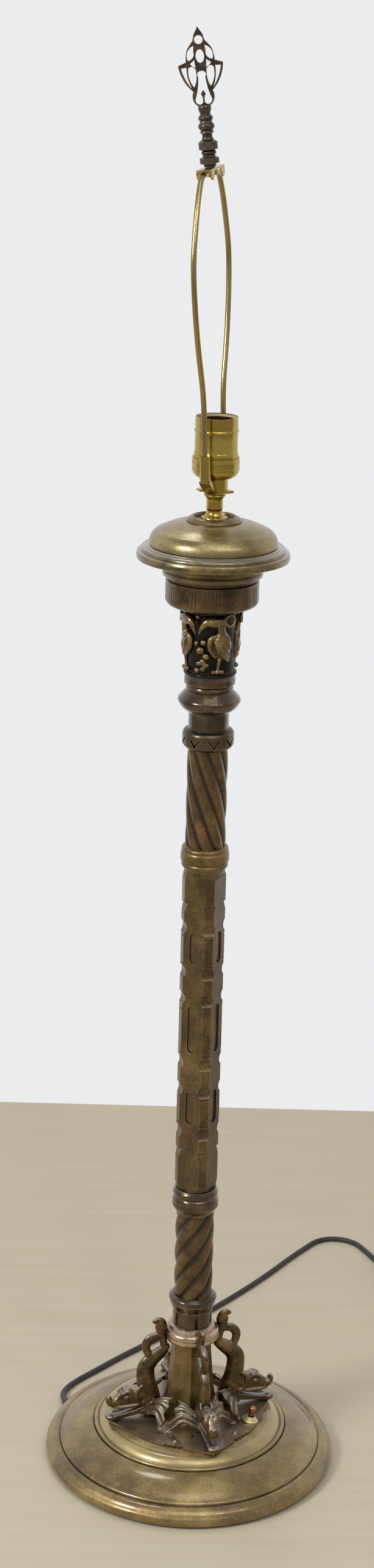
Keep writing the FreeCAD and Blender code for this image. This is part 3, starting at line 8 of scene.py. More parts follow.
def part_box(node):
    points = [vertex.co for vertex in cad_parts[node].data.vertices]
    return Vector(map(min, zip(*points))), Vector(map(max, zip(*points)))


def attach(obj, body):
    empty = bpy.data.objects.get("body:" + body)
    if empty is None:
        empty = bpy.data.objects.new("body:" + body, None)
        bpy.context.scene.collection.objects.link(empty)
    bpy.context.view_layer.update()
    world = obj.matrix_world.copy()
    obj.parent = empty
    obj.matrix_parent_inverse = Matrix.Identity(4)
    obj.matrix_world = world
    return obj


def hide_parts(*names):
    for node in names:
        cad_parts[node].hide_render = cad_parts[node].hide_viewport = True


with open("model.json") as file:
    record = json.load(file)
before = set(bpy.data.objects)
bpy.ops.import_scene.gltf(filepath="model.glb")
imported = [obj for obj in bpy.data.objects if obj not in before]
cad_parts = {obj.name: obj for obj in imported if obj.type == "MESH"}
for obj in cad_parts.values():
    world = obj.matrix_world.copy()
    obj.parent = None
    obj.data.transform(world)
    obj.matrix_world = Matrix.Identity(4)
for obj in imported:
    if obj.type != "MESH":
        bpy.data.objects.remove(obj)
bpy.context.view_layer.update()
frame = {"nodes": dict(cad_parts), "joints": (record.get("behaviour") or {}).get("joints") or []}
nodes = frame["nodes"]
mm = 0.001

# Camera: stands two metres in front of the lamp at chest height and looks down at it, with the long
# side of the picture upright. The picture is rolled a little, so the lamp leans to the right.
focal_length_px = 4254
picture_height_px = 2576
sensor_height_mm = 36
camera_place = (-0.0162, -2.0115, 1.2684)
tilt_down = 17.85
picture_roll = 1.45
scene = bpy.context.scene
camera_data = bpy.data.cameras.new("camera")
camera_data.sensor_fit = "VERTICAL"
camera_data.sensor_height = sensor_height_mm
camera_data.lens = sensor_height_mm * focal_length_px / picture_height_px
camera_data.clip_end = 30
camera = bpy.data.objects.new("camera", camera_data)
scene.collection.objects.link(camera)
look_down = Matrix.Rotation(math.radians(90 - tilt_down), 4, "X")
roll = Matrix.Rotation(math.radians(picture_roll), 4, "Z")
camera.matrix_world = Matrix.Translation(camera_place) @ look_down @ roll
scene.camera = camera
scene.view_settings.view_transform = "Standard"


# Floor: pale boards that end at a white wall. The wall is painted on the far part of the floor, so
# that it hides nothing from other sides, and only camera, mirror and glass rays see it there. The
# room's sizes are in metres.
def linear(code):
    """Linear colour of an sRGB hex code."""
    values = [int(code[i:i + 2], 16) / 255 for i in (1, 3, 5)]
    return [v / 12.92 if v <= 0.04045 else ((v + 0.055) / 1.055) ** 2.4 for v in values] + [1.0]


def add(owner, kind, inputs=None, links=None, **settings):
    """One node of a material or the world, with its settings, socket values and incoming links."""
    node = owner.node_tree.nodes.new(kind)
    for name, value in settings.items():
        setattr(node, name, value)
    for socket, value in (inputs or {}).items():
        node.inputs[socket].default_value = value
    for socket, source in (links or {}).items():
        owner.node_tree.links.new(source, node.inputs[socket])
    return node


def blank(name):
    """New material without nodes, for a finish to fill."""
    material = bpy.data.materials.new(name)
    material.use_nodes = True
    material.node_tree.nodes.clear()
    return material


wall_white = "#ebecee"
wall_y = 0.715
floor_half_side = 8
boards = blank("pale_floor")
place = add(boards, "ShaderNodeTexCoord").outputs["Object"]
depth = add(boards, "ShaderNodeSeparateXYZ", links={0: place}).outputs["Y"]
past_wall = add(boards, "ShaderNodeMath", {1: wall_y}, {0: depth}, operation="GREATER_THAN").outputs[0]
# The grain's patches are squeezed to streaks about 200 mm long and 10 mm wide
grain_mm = 625
grain_squeeze = (3, 60, 1)
squeezed = add(boards, "ShaderNodeMapping", {"Scale": grain_squeeze}, {"Vector": place}).outputs[0]
grain = add(boards, "ShaderNodeTexNoise", {"Scale": 1 / (grain_mm * mm), "Detail": 5},
            {"Vector": squeezed}).outputs[0]
wood = add(boards, "ShaderNodeMix", {"A": linear("#d2c3aa"), "B": linear("#c6b597")}, {"Factor": grain},
           data_type="RGBA").outputs["Result"]
wood_skin = add(boards, "ShaderNodeBsdfPrincipled", {"Roughness": 0.55}, {"Base Color": wood}).outputs[0]
wall_glow = add(boards, "ShaderNodeEmission", {"Color": linear(wall_white), "Strength": 1.0}).outputs[0]
ray = add(boards, "ShaderNodeLightPath").outputs
seen_plainly = add(boards, "ShaderNodeMath", {}, {0: ray["Is Camera Ray"], 1: ray["Is Glossy Ray"]},
                   operation="ADD", use_clamp=True).outputs[0]
seen = add(boards, "ShaderNodeMath", {}, {0: seen_plainly, 1: ray["Is Transmission Ray"]},
           operation="ADD", use_clamp=True).outputs[0]
wall_share = add(boards, "ShaderNodeMath", {}, {0: past_wall, 1: seen}, operation="MULTIPLY").outputs[0]
floor_skin = add(boards, "ShaderNodeMixShader", links={0: wall_share, 1: wood_skin, 2: wall_glow}).outputs[0]
add(boards, "ShaderNodeOutputMaterial", links={0: floor_skin})
floor_mesh = bpy.data.meshes.new("floor")
floor_form = bmesh.new()
bmesh.ops.create_grid(floor_form, x_segments=1, y_segments=1, size=floor_half_side)
floor_form.to_mesh(floor_mesh)
floor_form.free()
floor_mesh.materials.append(boards)
floor = bpy.data.objects.new("floor", floor_mesh)
scene.collection.objects.link(floor)

# Air of the room: even grey light, a little bluer from overhead. The camera and glass rays see the
# white wall instead, and so do mirror rays that leave backwards and below the ceiling.
grey_below = (0.58, 0.58, 0.58, 1)
blue_above = (0.55, 0.57, 0.61, 1)
world = bpy.data.worlds.new("room")
scene.world = world
world.use_nodes = True
world.node_tree.nodes.clear()
ray = add(world, "ShaderNodeLightPath").outputs
look = add(world, "ShaderNodeTexCoord").outputs["Generated"]
look_parts = add(world, "ShaderNodeSeparateXYZ", links={0: look}).outputs
room_tone = add(world, "ShaderNodeValToRGB", links={0: look_parts["Z"]})
room_tone.color_ramp.elements[0].position = 0.0
room_tone.color_ramp.elements[0].color = grey_below
room_tone.color_ramp.elements[1].position = 0.75
room_tone.color_ramp.elements[1].color = blue_above
room_light = add(world, "ShaderNodeBackground", {"Strength": 0.85}, {"Color": room_tone.outputs["Color"]})
white_wall = add(world, "ShaderNodeBackground", {"Color": linear(wall_white), "Strength": 1.0})
behind = add(world, "ShaderNodeMapRange", {"From Min": -0.1, "From Max": 0.35},
             {"Value": look_parts["Y"]}).outputs[0]
under_ceiling = add(world, "ShaderNodeMapRange", {"From Min": 0.85, "From Max": 0.55},
                    {"Value": look_parts["Z"]}).outputs[0]
wall_part = add(world, "ShaderNodeMath", {}, {0: behind, 1: under_ceiling}, operation="MULTIPLY").outputs[0]
mirrored = add(world, "ShaderNodeMath", {}, {0: ray["Is Glossy Ray"], 1: wall_part},
               operation="MULTIPLY").outputs[0]
shown_plainly = add(world, "ShaderNodeMath", {}, {0: ray["Is Camera Ray"], 1: mirrored},
                    operation="ADD", use_clamp=True).outputs[0]
shown = add(world, "ShaderNodeMath", {}, {0: shown_plainly, 1: ray["Is Transmission Ray"]},
            operation="ADD", use_clamp=True).outputs[0]
world_skin = add(world, "ShaderNodeMixShader",
                 links={0: shown, 1: room_light.outputs[0], 2: white_wall.outputs[0]}).outputs[0]
add(world, "ShaderNodeOutputWorld", links={0: world_skin})

# Lamps: a high window on the left, a row of three small ceiling lamps on the right, the pale ceiling
# and a weak light from behind. Each has its place and aim in metres, width, power and tint.
window_white = (0.90, 0.96, 1.0)
lamp_white = (1.0, 0.95, 0.88)
lights = [("window_light", (-1.9, -1.35, 2.0), (0, 0, 0.5), 0.65, 40, window_white),
          ("near_lamp", (0.45, -1.75, 2.3), (0, 0, 0.6), 0.18, 3.5, lamp_white),
          ("middle_lamp", (1.0, -1.6, 2.3), (0, 0, 0.6), 0.18, 3, lamp_white),
          ("far_lamp", (1.6, -1.3, 2.3), (0, 0, 0.6), 0.18, 2, lamp_white),
          ("ceiling_light", (0.2, -1.2, 2.8), (0, 0, 0.6), 1.6, 11, window_white),
          ("back_light", (-0.46, 1.1, 2.6), (0, 0, 0.1), 0.4, 4.5, window_white)]
for name, spot, aim, width, power, tint in lights:
    lamp_data = bpy.data.lights.new(name, "AREA")
    lamp_data.size = width
    lamp_data.energy = power
    lamp_data.color = tint
    lamp_object = bpy.data.objects.new(name, lamp_data)
    facing_aim = (Vector(aim) - Vector(spot)).to_track_quat("-Z", "Y").to_matrix().to_4x4()
    lamp_object.matrix_world = Matrix.Translation(spot) @ facing_aim
    scene.collection.objects.link(lamp_object)

# Lead: a black two-core lead in soft PVC, five millimetres across. It leaves the rim at the back
# left, runs on the floor behind the lamp and out on the right, and the rest is put away in a coil.
dish_far_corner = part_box("base_dish")[1]
base_radius = dish_far_corner[0] / mm
lead_radius = 2.5
rim_route = [(-118.5, -0.8, 5.8), (-121.6, 9, 4.6), (-125.6, 16.1, 3.3), (-130.4, 20, 2.6), (-136.4, 22, 2.6)]
floor_route = [(-88, 123.5, 2.6), (-67, 148, 2.6), (-42, 174, 2.6), (-10, 208, 2.6), (22, 245, 2.6),
               (51, 281, 2.6), (77.5, 317, 2.6), (101, 353, 2.6), (120, 379, 2.6), (129.2, 390.8, 2.6),
               (143, 396.8, 2.6), (157.9, 395.5, 2.6), (170.4, 387.2, 2.6), (177.4, 374, 2.6),
               (188, 353, 2.6), (194.5, 335.5, 2.6), (199, 318, 2.6)]
tail_route = [(199, 318, 19.85), (202.6, 304.5, 18.2), (208.5, 291, 13.5), (217.5, 279.5, 8.0),
              (230, 271.5, 4.6), (245, 268.5, 4.6), (258, 268.5, 4.6)]
coil_outer_radius = 36.0
coil_pitch = 5.8
coil_layers = 4
turns_per_layer = 2.5
climb_turns = 0.5
coil_start_angle = math.radians(195)
points_per_turn = 20
# Near the rim the points are (azimuth, distance outside the rim, height)
cord_route = []
for azimuth, outside, up in rim_route:
    angle = math.radians(azimuth)
    reach = base_radius + outside
    cord_route.append((reach * math.sin(angle), -reach * math.cos(angle), up))
cord_route += floor_route
coil_start = Vector(cord_route[-1])
coil_start_way = Vector((math.cos(coil_start_angle), math.sin(coil_start_angle), 0))
coil_centre = coil_start - coil_start_way * coil_outer_radius
layer_pitch = (tail_route[0][2] - cord_route[-1][2]) / (coil_layers - 1)
coil_turns = coil_layers * turns_per_layer
coil_route = []
for k in range(1, int(coil_turns * points_per_turn)):
    turn = k / points_per_turn
    fold = turn / turns_per_layer % 2
    inward = fold if fold <= 1 else 2 - fold
    radius = coil_outer_radius - coil_pitch * turns_per_layer * inward
    layer = 0
    for change in range(1, coil_layers):
        climb = min(max((turn - change * turns_per_layer + climb_turns / 2) / climb_turns, 0), 1)
        layer += (1 - math.cos(math.pi * climb)) / 2
    angle = coil_start_angle + 2 * math.pi * turn
    spot = coil_centre + Vector((math.cos(angle) * radius, math.sin(angle) * radius, layer * layer_pitch))
    coil_route.append(spot)
lead_curve = bpy.data.curves.new("lead", "CURVE")
lead_curve.dimensions = "3D"
lead_curve.bevel_depth = lead_radius * mm
lead_curve.bevel_resolution = 4
lead_curve.resolution_u = 6
lead_curve.use_fill_caps = True
line = lead_curve.splines.new("NURBS")
route = [Vector(p) for p in cord_route] + coil_route + [Vector(p) for p in tail_route]
line.points.add(len(route) - 1)
for point, spot in zip(line.points, route):
    point.co = (*(spot * mm), 1)
line.order_u = 3
line.use_endpoint_u = True
lead = bpy.data.objects.new("lead", lead_curve)
scene.collection.objects.link(lead)
# Soft black PVC: satin, with a faint mottle of dust in patches of about 6 mm
dust_mm = 6.25
pvc = blank("black_pvc_lead")
place = add(pvc, "ShaderNodeTexCoord").outputs["Object"]
dust = add(pvc, "ShaderNodeTexNoise", {"Scale": 1 / (dust_mm * mm), "Detail": 3},
           {"Vector": place}).outputs[0]
pvc_colour = add(pvc, "ShaderNodeMix", {"A": linear("#1d1c20"), "B": linear("#3a383c")}, {"Factor": dust},
                 data_type="RGBA").outputs["Result"]
pvc_rough = add(pvc, "ShaderNodeMapRange", {"To Min": 0.38, "To Max": 0.55}, {"Value": dust}).outputs[0]
pvc_skin = add(pvc, "ShaderNodeBsdfPrincipled", {"IOR": 1.5},
               {"Base Color": pvc_colour, "Roughness": pvc_rough})
add(pvc, "ShaderNodeOutputMaterial", links={0: pvc_skin.outputs[0]})
lead_curve.materials.append(pvc)
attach(lead, "stand")
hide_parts("cord_run", "cord_coil", "cord_tail")


# Base dish: cast brass, turned, then darkened and waxed. Its inner roll is painted pale gold, a painted
# highlight over its rubbing, and dark wax and painted shade darken its grooves. The finish is shared by
# every old casting of the lamp.
def dress(names, material, crease=32):
    """Smooth-shade CAD nodes over their small angles and give them a material."""
    for name in names:
        node = nodes[name]
        for face in node.data.polygons:
            face.use_smooth = True
        weld = node.modifiers.new("weld", "WELD")
        weld.merge_threshold = 0.01 * mm
        split_edges = node.modifiers.new("edges", "EDGE_SPLIT")
        split_edges.split_angle = math.radians(crease)
        if not node.material_slots:
            node.data.materials.append(material)
        for entry in node.material_slots:
            entry.material = material


def old_brass(name, dark, middle, worn, wax_and_shade, wear, patch_mm, roughness=0.36, gloss=0.6, wax=0.22,
              blush_limit=0.42, sunk=None, rubbed_highlit_rolls=(), painted_top_light=0):
    """Aged cast brass under clear wax: patchy brown, fine speckle, recesses darkened with dark wax and
    painted shade, bright edges, and painted highlights on given rolls and on faces that look up.
    """
    material = blank(name)
    place = add(material, "ShaderNodeTexCoord").outputs["Object"]
    if sunk or rubbed_highlit_rolls:
        level = add(material, "ShaderNodeVectorMath", {1: (1, 1, 0)}, {0: place},
                    operation="MULTIPLY").outputs[0]
        from_axis = add(material, "ShaderNodeVectorMath", {}, {0: level}, operation="LENGTH").outputs["Value"]
    patches = add(material, "ShaderNodeTexNoise",
                  {"Scale": 1 / (patch_mm * mm), "Detail": 6, "Roughness": 0.62},
                  {"Vector": place}).outputs[0]
    base = add(material, "ShaderNodeValToRGB", links={0: patches})
    base.color_ramp.elements[0].position = 0.33
    base.color_ramp.elements[0].color = linear(dark)
    base.color_ramp.elements[1].position = 0.68
    base.color_ramp.elements[1].color = linear(worn)
    base.color_ramp.elements.new(0.50).color = linear(middle)
    # Copper shows pink where the wax is thin
    blush_mm = 20
    blush = add(material, "ShaderNodeTexNoise", {"Scale": 1 / (blush_mm * mm), "Detail": 3},
                {"Vector": place}).outputs[0]
    blush_share = add(material, "ShaderNodeMapRange",
                      {"From Min": 0.50, "From Max": 0.72, "To Max": blush_limit},
                      {"Value": blush}).outputs[0]
    blushed = add(material, "ShaderNodeMix", {"B": linear("#86604a")},
                  {"Factor": blush_share, "A": base.outputs["Color"]}, data_type="RGBA").outputs["Result"]
    # The speckle of the casting's sand
    speckle_mm = 1.5
    speckle = add(material, "ShaderNodeTexNoise", {"Scale": 1 / (speckle_mm * mm), "Detail": 2},
                  {"Vector": place}).outputs[0]
    speckle_tone = add(material, "ShaderNodeMapRange",
                       {"From Min": 0.3, "From Max": 0.7, "To Min": 0.75, "To Max": 1.22},
                       {"Value": speckle}).outputs[0]
    skin_colour = add(material, "ShaderNodeVectorMath", {}, {0: blushed, "Scale": speckle_tone},
                      operation="SCALE").outputs[0]
    # Dark wax and painted shade: the colour darkens where another surface is near, as ambient occlusion finds
    # it
    groove_mm = 5
    hollow = add(material, "ShaderNodeAmbientOcclusion", {"Distance": groove_mm * mm}, samples=8,
                 only_local=False)
    wax_and_shade_share = add(material, "ShaderNodeMapRange",
                      {"From Min": 0.35, "From Max": 0.85, "To Min": wax_and_shade, "To Max": 0},
                      {"Value": hollow.outputs["AO"]}).outputs[0]
    if sunk:
        # The dark wax also fills everything that lies deeper than a distance from the lamp's axis
        deepest, shallowest = sunk
        depth_share = add(material, "ShaderNodeMapRange",
                          {"From Min": deepest * mm, "From Max": shallowest * mm,
                           "To Min": wax_and_shade, "To Max": 0}, {"Value": from_axis}).outputs[0]
        wax_and_shade_share = add(material, "ShaderNodeMath", {}, {0: wax_and_shade_share, 1: depth_share},
                          operation="MAXIMUM").outputs[0]
    skin_colour = add(material, "ShaderNodeMix", {"B": linear("#17130f")},
                      {"Factor": wax_and_shade_share, "A": skin_colour}, data_type="RGBA").outputs["Result"]
    roll_fade = 2
    for near, far, share in rubbed_highlit_rolls:
        # Painted highlight over rubbing: the roll between two distances from the axis is paled to light gold
        past_near = add(material, "ShaderNodeMapRange",
                        {"From Min": near * mm, "From Max": (near + roll_fade) * mm},
                        {"Value": from_axis}).outputs[0]
        before_far = add(material, "ShaderNodeMapRange",
                         {"From Min": far * mm, "From Max": (far - roll_fade) * mm, "To Max": share},
                         {"Value": from_axis}).outputs[0]
        roll_highlight_share = add(material, "ShaderNodeMath", {}, {0: past_near, 1: before_far},
                         operation="MULTIPLY").outputs[0]
        skin_colour = add(material, "ShaderNodeMix", {"B": linear("#e0ca90")},
                          {"Factor": roll_highlight_share, "A": skin_colour}, data_type="RGBA").outputs["Result"]
    straight = add(material, "ShaderNodeNewGeometry").outputs["Normal"]
    if painted_top_light:
        # Painted overhead light: every face that looks up is paled towards bluish grey
        facing_up = add(material, "ShaderNodeSeparateXYZ", links={0: straight}).outputs["Z"]
        top_light_share = add(material, "ShaderNodeMapRange",
                          {"From Min": 0.45, "From Max": 0.95, "To Max": painted_top_light},
                          {"Value": facing_up}).outputs[0]
        skin_colour = add(material, "ShaderNodeMix", {"B": linear("#b3aba0")},
                          {"Factor": top_light_share, "A": skin_colour}, data_type="RGBA").outputs["Result"]
    # Sharp edges are rubbed bright
    edge_mm = 0.8
    rounded = add(material, "ShaderNodeBevel", {"Radius": edge_mm * mm}, samples=6).outputs[0]
    agree = add(material, "ShaderNodeVectorMath", {}, {0: rounded, 1: straight},
                operation="DOT_PRODUCT").outputs["Value"]
    edge_share = add(material, "ShaderNodeMapRange", {"From Min": 0.995, "From Max": 0.90, "To Max": wear},
                     {"Value": agree}).outputs[0]
    rubbed = add(material, "ShaderNodeMath", {}, {0: edge_share, 1: hollow.outputs["AO"]},
                 operation="MULTIPLY").outputs[0]
    skin_colour = add(material, "ShaderNodeMix", {"B": linear("#bfa678")},
                      {"Factor": rubbed, "A": skin_colour}, data_type="RGBA").outputs["Result"]
    rough = add(material, "ShaderNodeMapRange",
                {"From Min": 0.3, "From Max": 0.7, "To Min": roughness - 0.06, "To Max": roughness + 0.14},
                {"Value": patches}).outputs[0]
    sand_mm = 0.12
    sand = add(material, "ShaderNodeBump", {"Strength": 0.3, "Distance": sand_mm * mm}, {"Height": speckle})
    skin = add(material, "ShaderNodeBsdfPrincipled",
               {"Metallic": 0.9, "Coat Weight": gloss, "Coat Roughness": wax},
               {"Base Color": skin_colour, "Roughness": rough, "Normal": sand.outputs[0]})
    add(material, "ShaderNodeOutputMaterial", links={0: skin.outputs[0]})
    return material


# Golden brown under thick clear wax, with a painted highlight on the inner roll over its rubbing
inner_roll_near_share = 0.54
inner_roll_far_share = 0.66
inner_roll = (base_radius * inner_roll_near_share, base_radius * inner_roll_far_share, 0.3)
base_brass = old_brass("waxed_cast_brass_base", "#6b5735", "#8e7648", "#ad955f", wax_and_shade=0.8, wear=0.95,
                       patch_mm=34, gloss=0.9, wax=0.11, rubbed_highlit_rolls=[inner_roll])
dress(["base_dish"], base_brass)
# The plate is browner, its nicked edges are rubbed bright, and its faces that look up are painted
# paler as overhead light
plate_brass = old_brass("waxed_cast_brass_plate", "#7f684d", "#9d8160", "#ba9c77", wax_and_shade=0.45, wear=1.0,
                        patch_mm=20, gloss=0.8, wax=0.14, painted_top_light=0.3)
dress(["corner_plate"], plate_brass)

# Under the dish: a felt pad glued under the rim, the cast iron weight, and the zinc-plated nut and
# washer on the long tube that holds the lamp together.
fibre_mm = 0.8
pile_mm = 0.4
felt = blank("green_black_felt")
place = add(felt, "ShaderNodeTexCoord").outputs["Object"]
fibres = add(felt, "ShaderNodeTexNoise", {"Scale": 1 / (fibre_mm * mm), "Detail": 4},
             {"Vector": place}).outputs[0]
felt_colour = add(felt, "ShaderNodeMix", {"A": linear("#1b2019"), "B": linear("#343a30")}, {"Factor": fibres},
                  data_type="RGBA").outputs["Result"]
felt_pile = add(felt, "ShaderNodeBump", {"Strength": 0.6, "Distance": pile_mm * mm}, {"Height": fibres})
felt_skin = add(felt, "ShaderNodeBsdfPrincipled", {"Roughness": 0.95, "Sheen Weight": 0.3},
                {"Base Color": felt_colour, "Normal": felt_pile.outputs[0]})
add(felt, "ShaderNodeOutputMaterial", links={0: felt_skin.outputs[0]})
dress(["felt_pad"], felt)


def mottled(name, code, roughness, mottle_mm=2.0, metallic=1.0, contrast=0.12):
    """Even finish with a faint mottle in its tone and gloss."""
    material = blank(name)
    place = add(material, "ShaderNodeTexCoord").outputs["Object"]
    mottle = add(material, "ShaderNodeTexNoise", {"Scale": 1 / (mottle_mm * mm), "Detail": 4},
                 {"Vector": place}).outputs[0]
    tone = add(material, "ShaderNodeMapRange", {"To Min": 1 - contrast, "To Max": 1 + contrast},
               {"Value": mottle}).outputs[0]
    colour = add(material, "ShaderNodeVectorMath", {0: linear(code)[:3]}, {"Scale": tone},
                 operation="SCALE").outputs[0]
    rough = add(material, "ShaderNodeMapRange", {"To Min": roughness * 0.8, "To Max": roughness * 1.25},
                {"Value": mottle}).outputs[0]
    relief_mm = 0.05
    relief = add(material, "ShaderNodeBump", {"Strength": 0.2, "Distance": relief_mm * mm},
                 {"Height": mottle})
    skin = add(material, "ShaderNodeBsdfPrincipled", {"Metallic": metallic},
               {"Base Color": colour, "Roughness": rough, "Normal": relief.outputs[0]})
    add(material, "ShaderNodeOutputMaterial", links={0: skin.outputs[0]})
    return material


# Iron as it left the sand: nearly black, dull and uneven
iron = mottled("rough_cast_iron", "#3a3632", roughness=0.7, mottle_mm=3.0, metallic=0.6, contrast=0.25)
dress(["base_weight"], iron)
# Zinc plate: cool grey with a soft gloss
zinc = mottled("zinc_plated_steel", "#9a9890", roughness=0.4)
dress(["rod_nut", "rod_washer", "threaded_rod", "finial_stud"], zinc)

# Castings of the column: the same waxed brass, darker than the base. The pedestal and the knuckle
# under the upper twist are a lighter brass.
column_brass = old_brass("waxed_cast_brass_column", "#3c301f", "#5a4829", "#7f683a", wax_and_shade=0.9, wear=0.55,
                         patch_mm=24, roughness=0.40)
dress(["faceted_shaft"], column_brass)
pedestal_brass = old_brass("waxed_cast_brass_pedestal", "#53431f", "#765f31", "#957d49", wax_and_shade=0.8, wear=0.6,
                           patch_mm=20, roughness=0.42)
dress(["pedestal", "upper_knuckle"], pedestal_brass)
# The grooves between the twists' strands are full of black wax, which thins out towards the crests
twist_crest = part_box("lower_twist")[1][0] / mm
twist_wax_depths = (twist_crest - 1.7, twist_crest - 0.5)
twist_brass = old_brass("waxed_cast_brass_twists", "#46371f", "#654f2c", "#8a6d3c", wax_and_shade=0.93, wear=0.6,
                        patch_mm=24, roughness=0.38, sunk=twist_wax_depths)
dress(["lower_twist", "upper_twist"], twist_brass)
# So are the zigzag's grooves, which are shallower
zigzag_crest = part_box("zigzag_collar")[1][0] / mm
zigzag_wax_depths = (zigzag_crest - 1.4, zigzag_crest - 0.9)
zigzag_brass = old_brass("waxed_cast_brass_zigzag", "#3b3022", "#524430", "#6d5a3c", wax_and_shade=0.95, wear=0.6,
                         patch_mm=20, roughness=0.38, sunk=zigzag_wax_depths)
dress(["zigzag_collar"], zigzag_brass)

# Dolphins: four castings round the pedestal, head down, with open jaws and the tail curled back in a
# loop. Each is modelled facing the front, in millimetres outward from the lamp's axis and upward from
# the dish. Their brass is darkened in the folds by dark wax and painted shade, and every face that
# looks up is painted paler as overhead light.
dish_top = dish_far_corner[2] / mm
dolphin_brass = old_brass("waxed_cast_brass_dolphins", "#382c18", "#5a4726", "#8a7040", wax_and_shade=0.88, wear=0.8,
                          patch_mm=12, gloss=0.5, wax=0.18, painted_top_light=0.62)


def limb(form, stations, sides=20):
    """Closed round limb through stations: centre, broad way, half breadth and half thickness in mm."""
    frames = []
    for k, (centre, broad_way, broad, thick) in enumerate(stations):
        ahead = stations[min(k + 1, len(stations) - 1)][0] - stations[max(k - 1, 0)][0]
        along = ahead.normalized()
        sideways = (broad_way - along * broad_way.dot(along)).normalized()
        turn = Matrix((sideways * broad, along.cross(sideways) * thick, along)).transposed().to_4x4()
        frames.append(Matrix.Scale(mm, 4) @ Matrix.Translation(centre) @ turn)
    ring = bmesh.ops.create_circle(form, cap_ends=True, segments=sides, radius=1, matrix=frames[0])["verts"]
    edges = list({edge for vert in ring for edge in vert.link_edges})
    for before, after in zip(frames, frames[1:]):
        grown = bmesh.ops.extrude_edge_only(form, edges=edges)["geom"]
        ring = [part for part in grown if isinstance(part, bmesh.types.BMVert)]
        fresh = set(ring)
        edges = [part for part in grown if isinstance(part, bmesh.types.BMEdge) and set(part.verts) <= fresh]
        bmesh.ops.transform(form, matrix=after @ before.inverted(), verts=ring)
    bmesh.ops.contextual_create(form, geom=edges)


def ball(form, centre, sizes, turn=0):
    """Oval lump with three half sizes in mm, turned about the upright."""
    spot = Matrix.Scale(mm, 4) @ Matrix.Translation(centre) @ Matrix.Rotation(turn, 4, "Z")
    bmesh.ops.create_uvsphere(form, u_segments=20, v_segments=12, radius=1,
                              matrix=spot @ Matrix.Diagonal((*sizes, 1)))


def eased(stations, steps=5):
    """More stations between the given ones, on a smooth curve."""
    result = []
    for k in range(len(stations) - 1):
        before, after = stations[max(k - 1, 0)], stations[min(k + 2, len(stations) - 1)]
        for n in range(steps):
            t = n / steps
            result.append([0.5 * (2 * b + (c - a) * t + (2 * a - 5 * b + 4 * c - d) * t * t
                                  + (3 * b - a - 3 * c + d) * t ** 3)
                           for a, b, c, d in zip(before, stations[k], stations[k + 1], after)])
    return result + [list(stations[-1])]


def cast(name, form, spots, voxel_mm, material, node_names):
    """One casting for each place, its limbs melted into one skin, standing for CAD nodes."""
    bmesh.ops.recalc_face_normals(form, faces=form.faces)
    for k, (spot, node_name) in enumerate(zip(spots, node_names)):
        mesh = bpy.data.meshes.new(name)
        form.to_mesh(mesh)
        mesh.transform(spot)
        if spot.determinant() < 0:
            mesh.flip_normals()
        mesh.materials.append(material)
        piece = bpy.data.objects.new(f"{name}_{k + 1}", mesh)
        scene.collection.objects.link(piece)
        melt = piece.modifiers.new("melt", "REMESH")
        melt.mode = "VOXEL"
        melt.voxel_size = voxel_mm * mm
        melt.use_smooth_shade = True
        soften = piece.modifiers.new("soften", "SMOOTH")
        soften.factor = 0.5
        soften.iterations = 3
        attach(piece, "stand")
        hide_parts(node_name)
    form.free()


def in_profile(stations):
    """Limb stations from (outward, upward, sideways, half thickness, half breadth)."""
    return [(Vector((side, -out, dish_top + up)), Vector((1, 0, 0)), broad, thick)
            for out, up, side, thick, broad in stations]


body = [(22, 70, 0, 3.0, 2.6), (25.5, 65.5, 0, 5.0, 3.6), (31, 61, 0, 6.4, 4.4), (37, 56, 0, 7.3, 4.8),
        (41, 49.5, 0, 8.0, 5.0), (41.2, 41, 0, 8.3, 5.3), (40, 33, 0, 8.6, 5.8), (38, 24, 0, 9.4, 6.3),
        (36, 15, 0, 9.4, 6.2), (34.5, 7, 0, 8.4, 5.4), (34, 1, 0, 7.2, 4.6)]
head = [(36, 25, 0, 7.0, 4.6), (43, 24.5, 0, 8.8, 5.4), (49, 23.6, 0, 9.6, 5.6), (55, 23, 0, 9.6, 5.3),
        (61, 21.6, 0, 8.0, 4.7), (66, 19.6, 0, 5.8, 4.4), (70, 18.8, 0, 4.5, 4.4), (73, 20.6, 0, 3.6, 4.2),
        (74.3, 23.6, 0, 2.7, 3.4), (73.6, 26.6, 0, 1.4, 1.8)]
jaw = [(35, 12, 0, 5.4, 4.6), (44, 9.6, 0, 4.0, 4.8), (52, 7.8, 0, 3.0, 4.8), (60, 6.2, 0, 2.4, 4.6),
       (67, 5, 0, 2.6, 4.8), (71.5, 5, 0, 3.2, 5.6), (75.2, 6.2, 0, 2.4, 4.6), (76.6, 7.6, 0, 0.9, 2)]
tail_stalk = [(24.5, 63, 0, 3.8, 3.2), (25, 70, 0, 3.4, 2.8), (26.5, 77, 0, 3.5, 2.7),
              (27.6, 83, 0, 4.4, 3.0), (28, 88, 0, 5.6, 3.5), (28.8, 92, 0, 4.9, 3.3),
              (31, 94, 0, 3.6, 2.7), (33.8, 93.4, 0, 2.4, 2.0), (35, 92.2, 0, 1.4, 1.2)]
tail_loop = [(26, 78, 0, 3.2, 2.6), (31.5, 79.6, 0, 3.8, 2.9), (37.5, 77.8, 0, 4.1, 3.1),
             (41, 72.8, 0, 4.1, 3.1), (40.6, 66.6, 0, 3.7, 2.9), (38, 61, 0, 3.4, 3.4)]
chin_knob = (72.6, 5.6, (5.9, 3.9, 3.3))
nose_knob = (71.8, 19.6, (4.8, 4.2, 3.9))
tail_knuckle = (27.6, 87.6, (3.6, 5.4, 4.6))
dolphin = bmesh.new()
for stations in (body, head, jaw, tail_stalk, tail_loop):
    limb(dolphin, in_profile(eased(stations)))
for out, up, sizes in (chin_knob, nose_knob, tail_knuckle):
    ball(dolphin, Vector((0, -out, dish_top + up)), sizes)

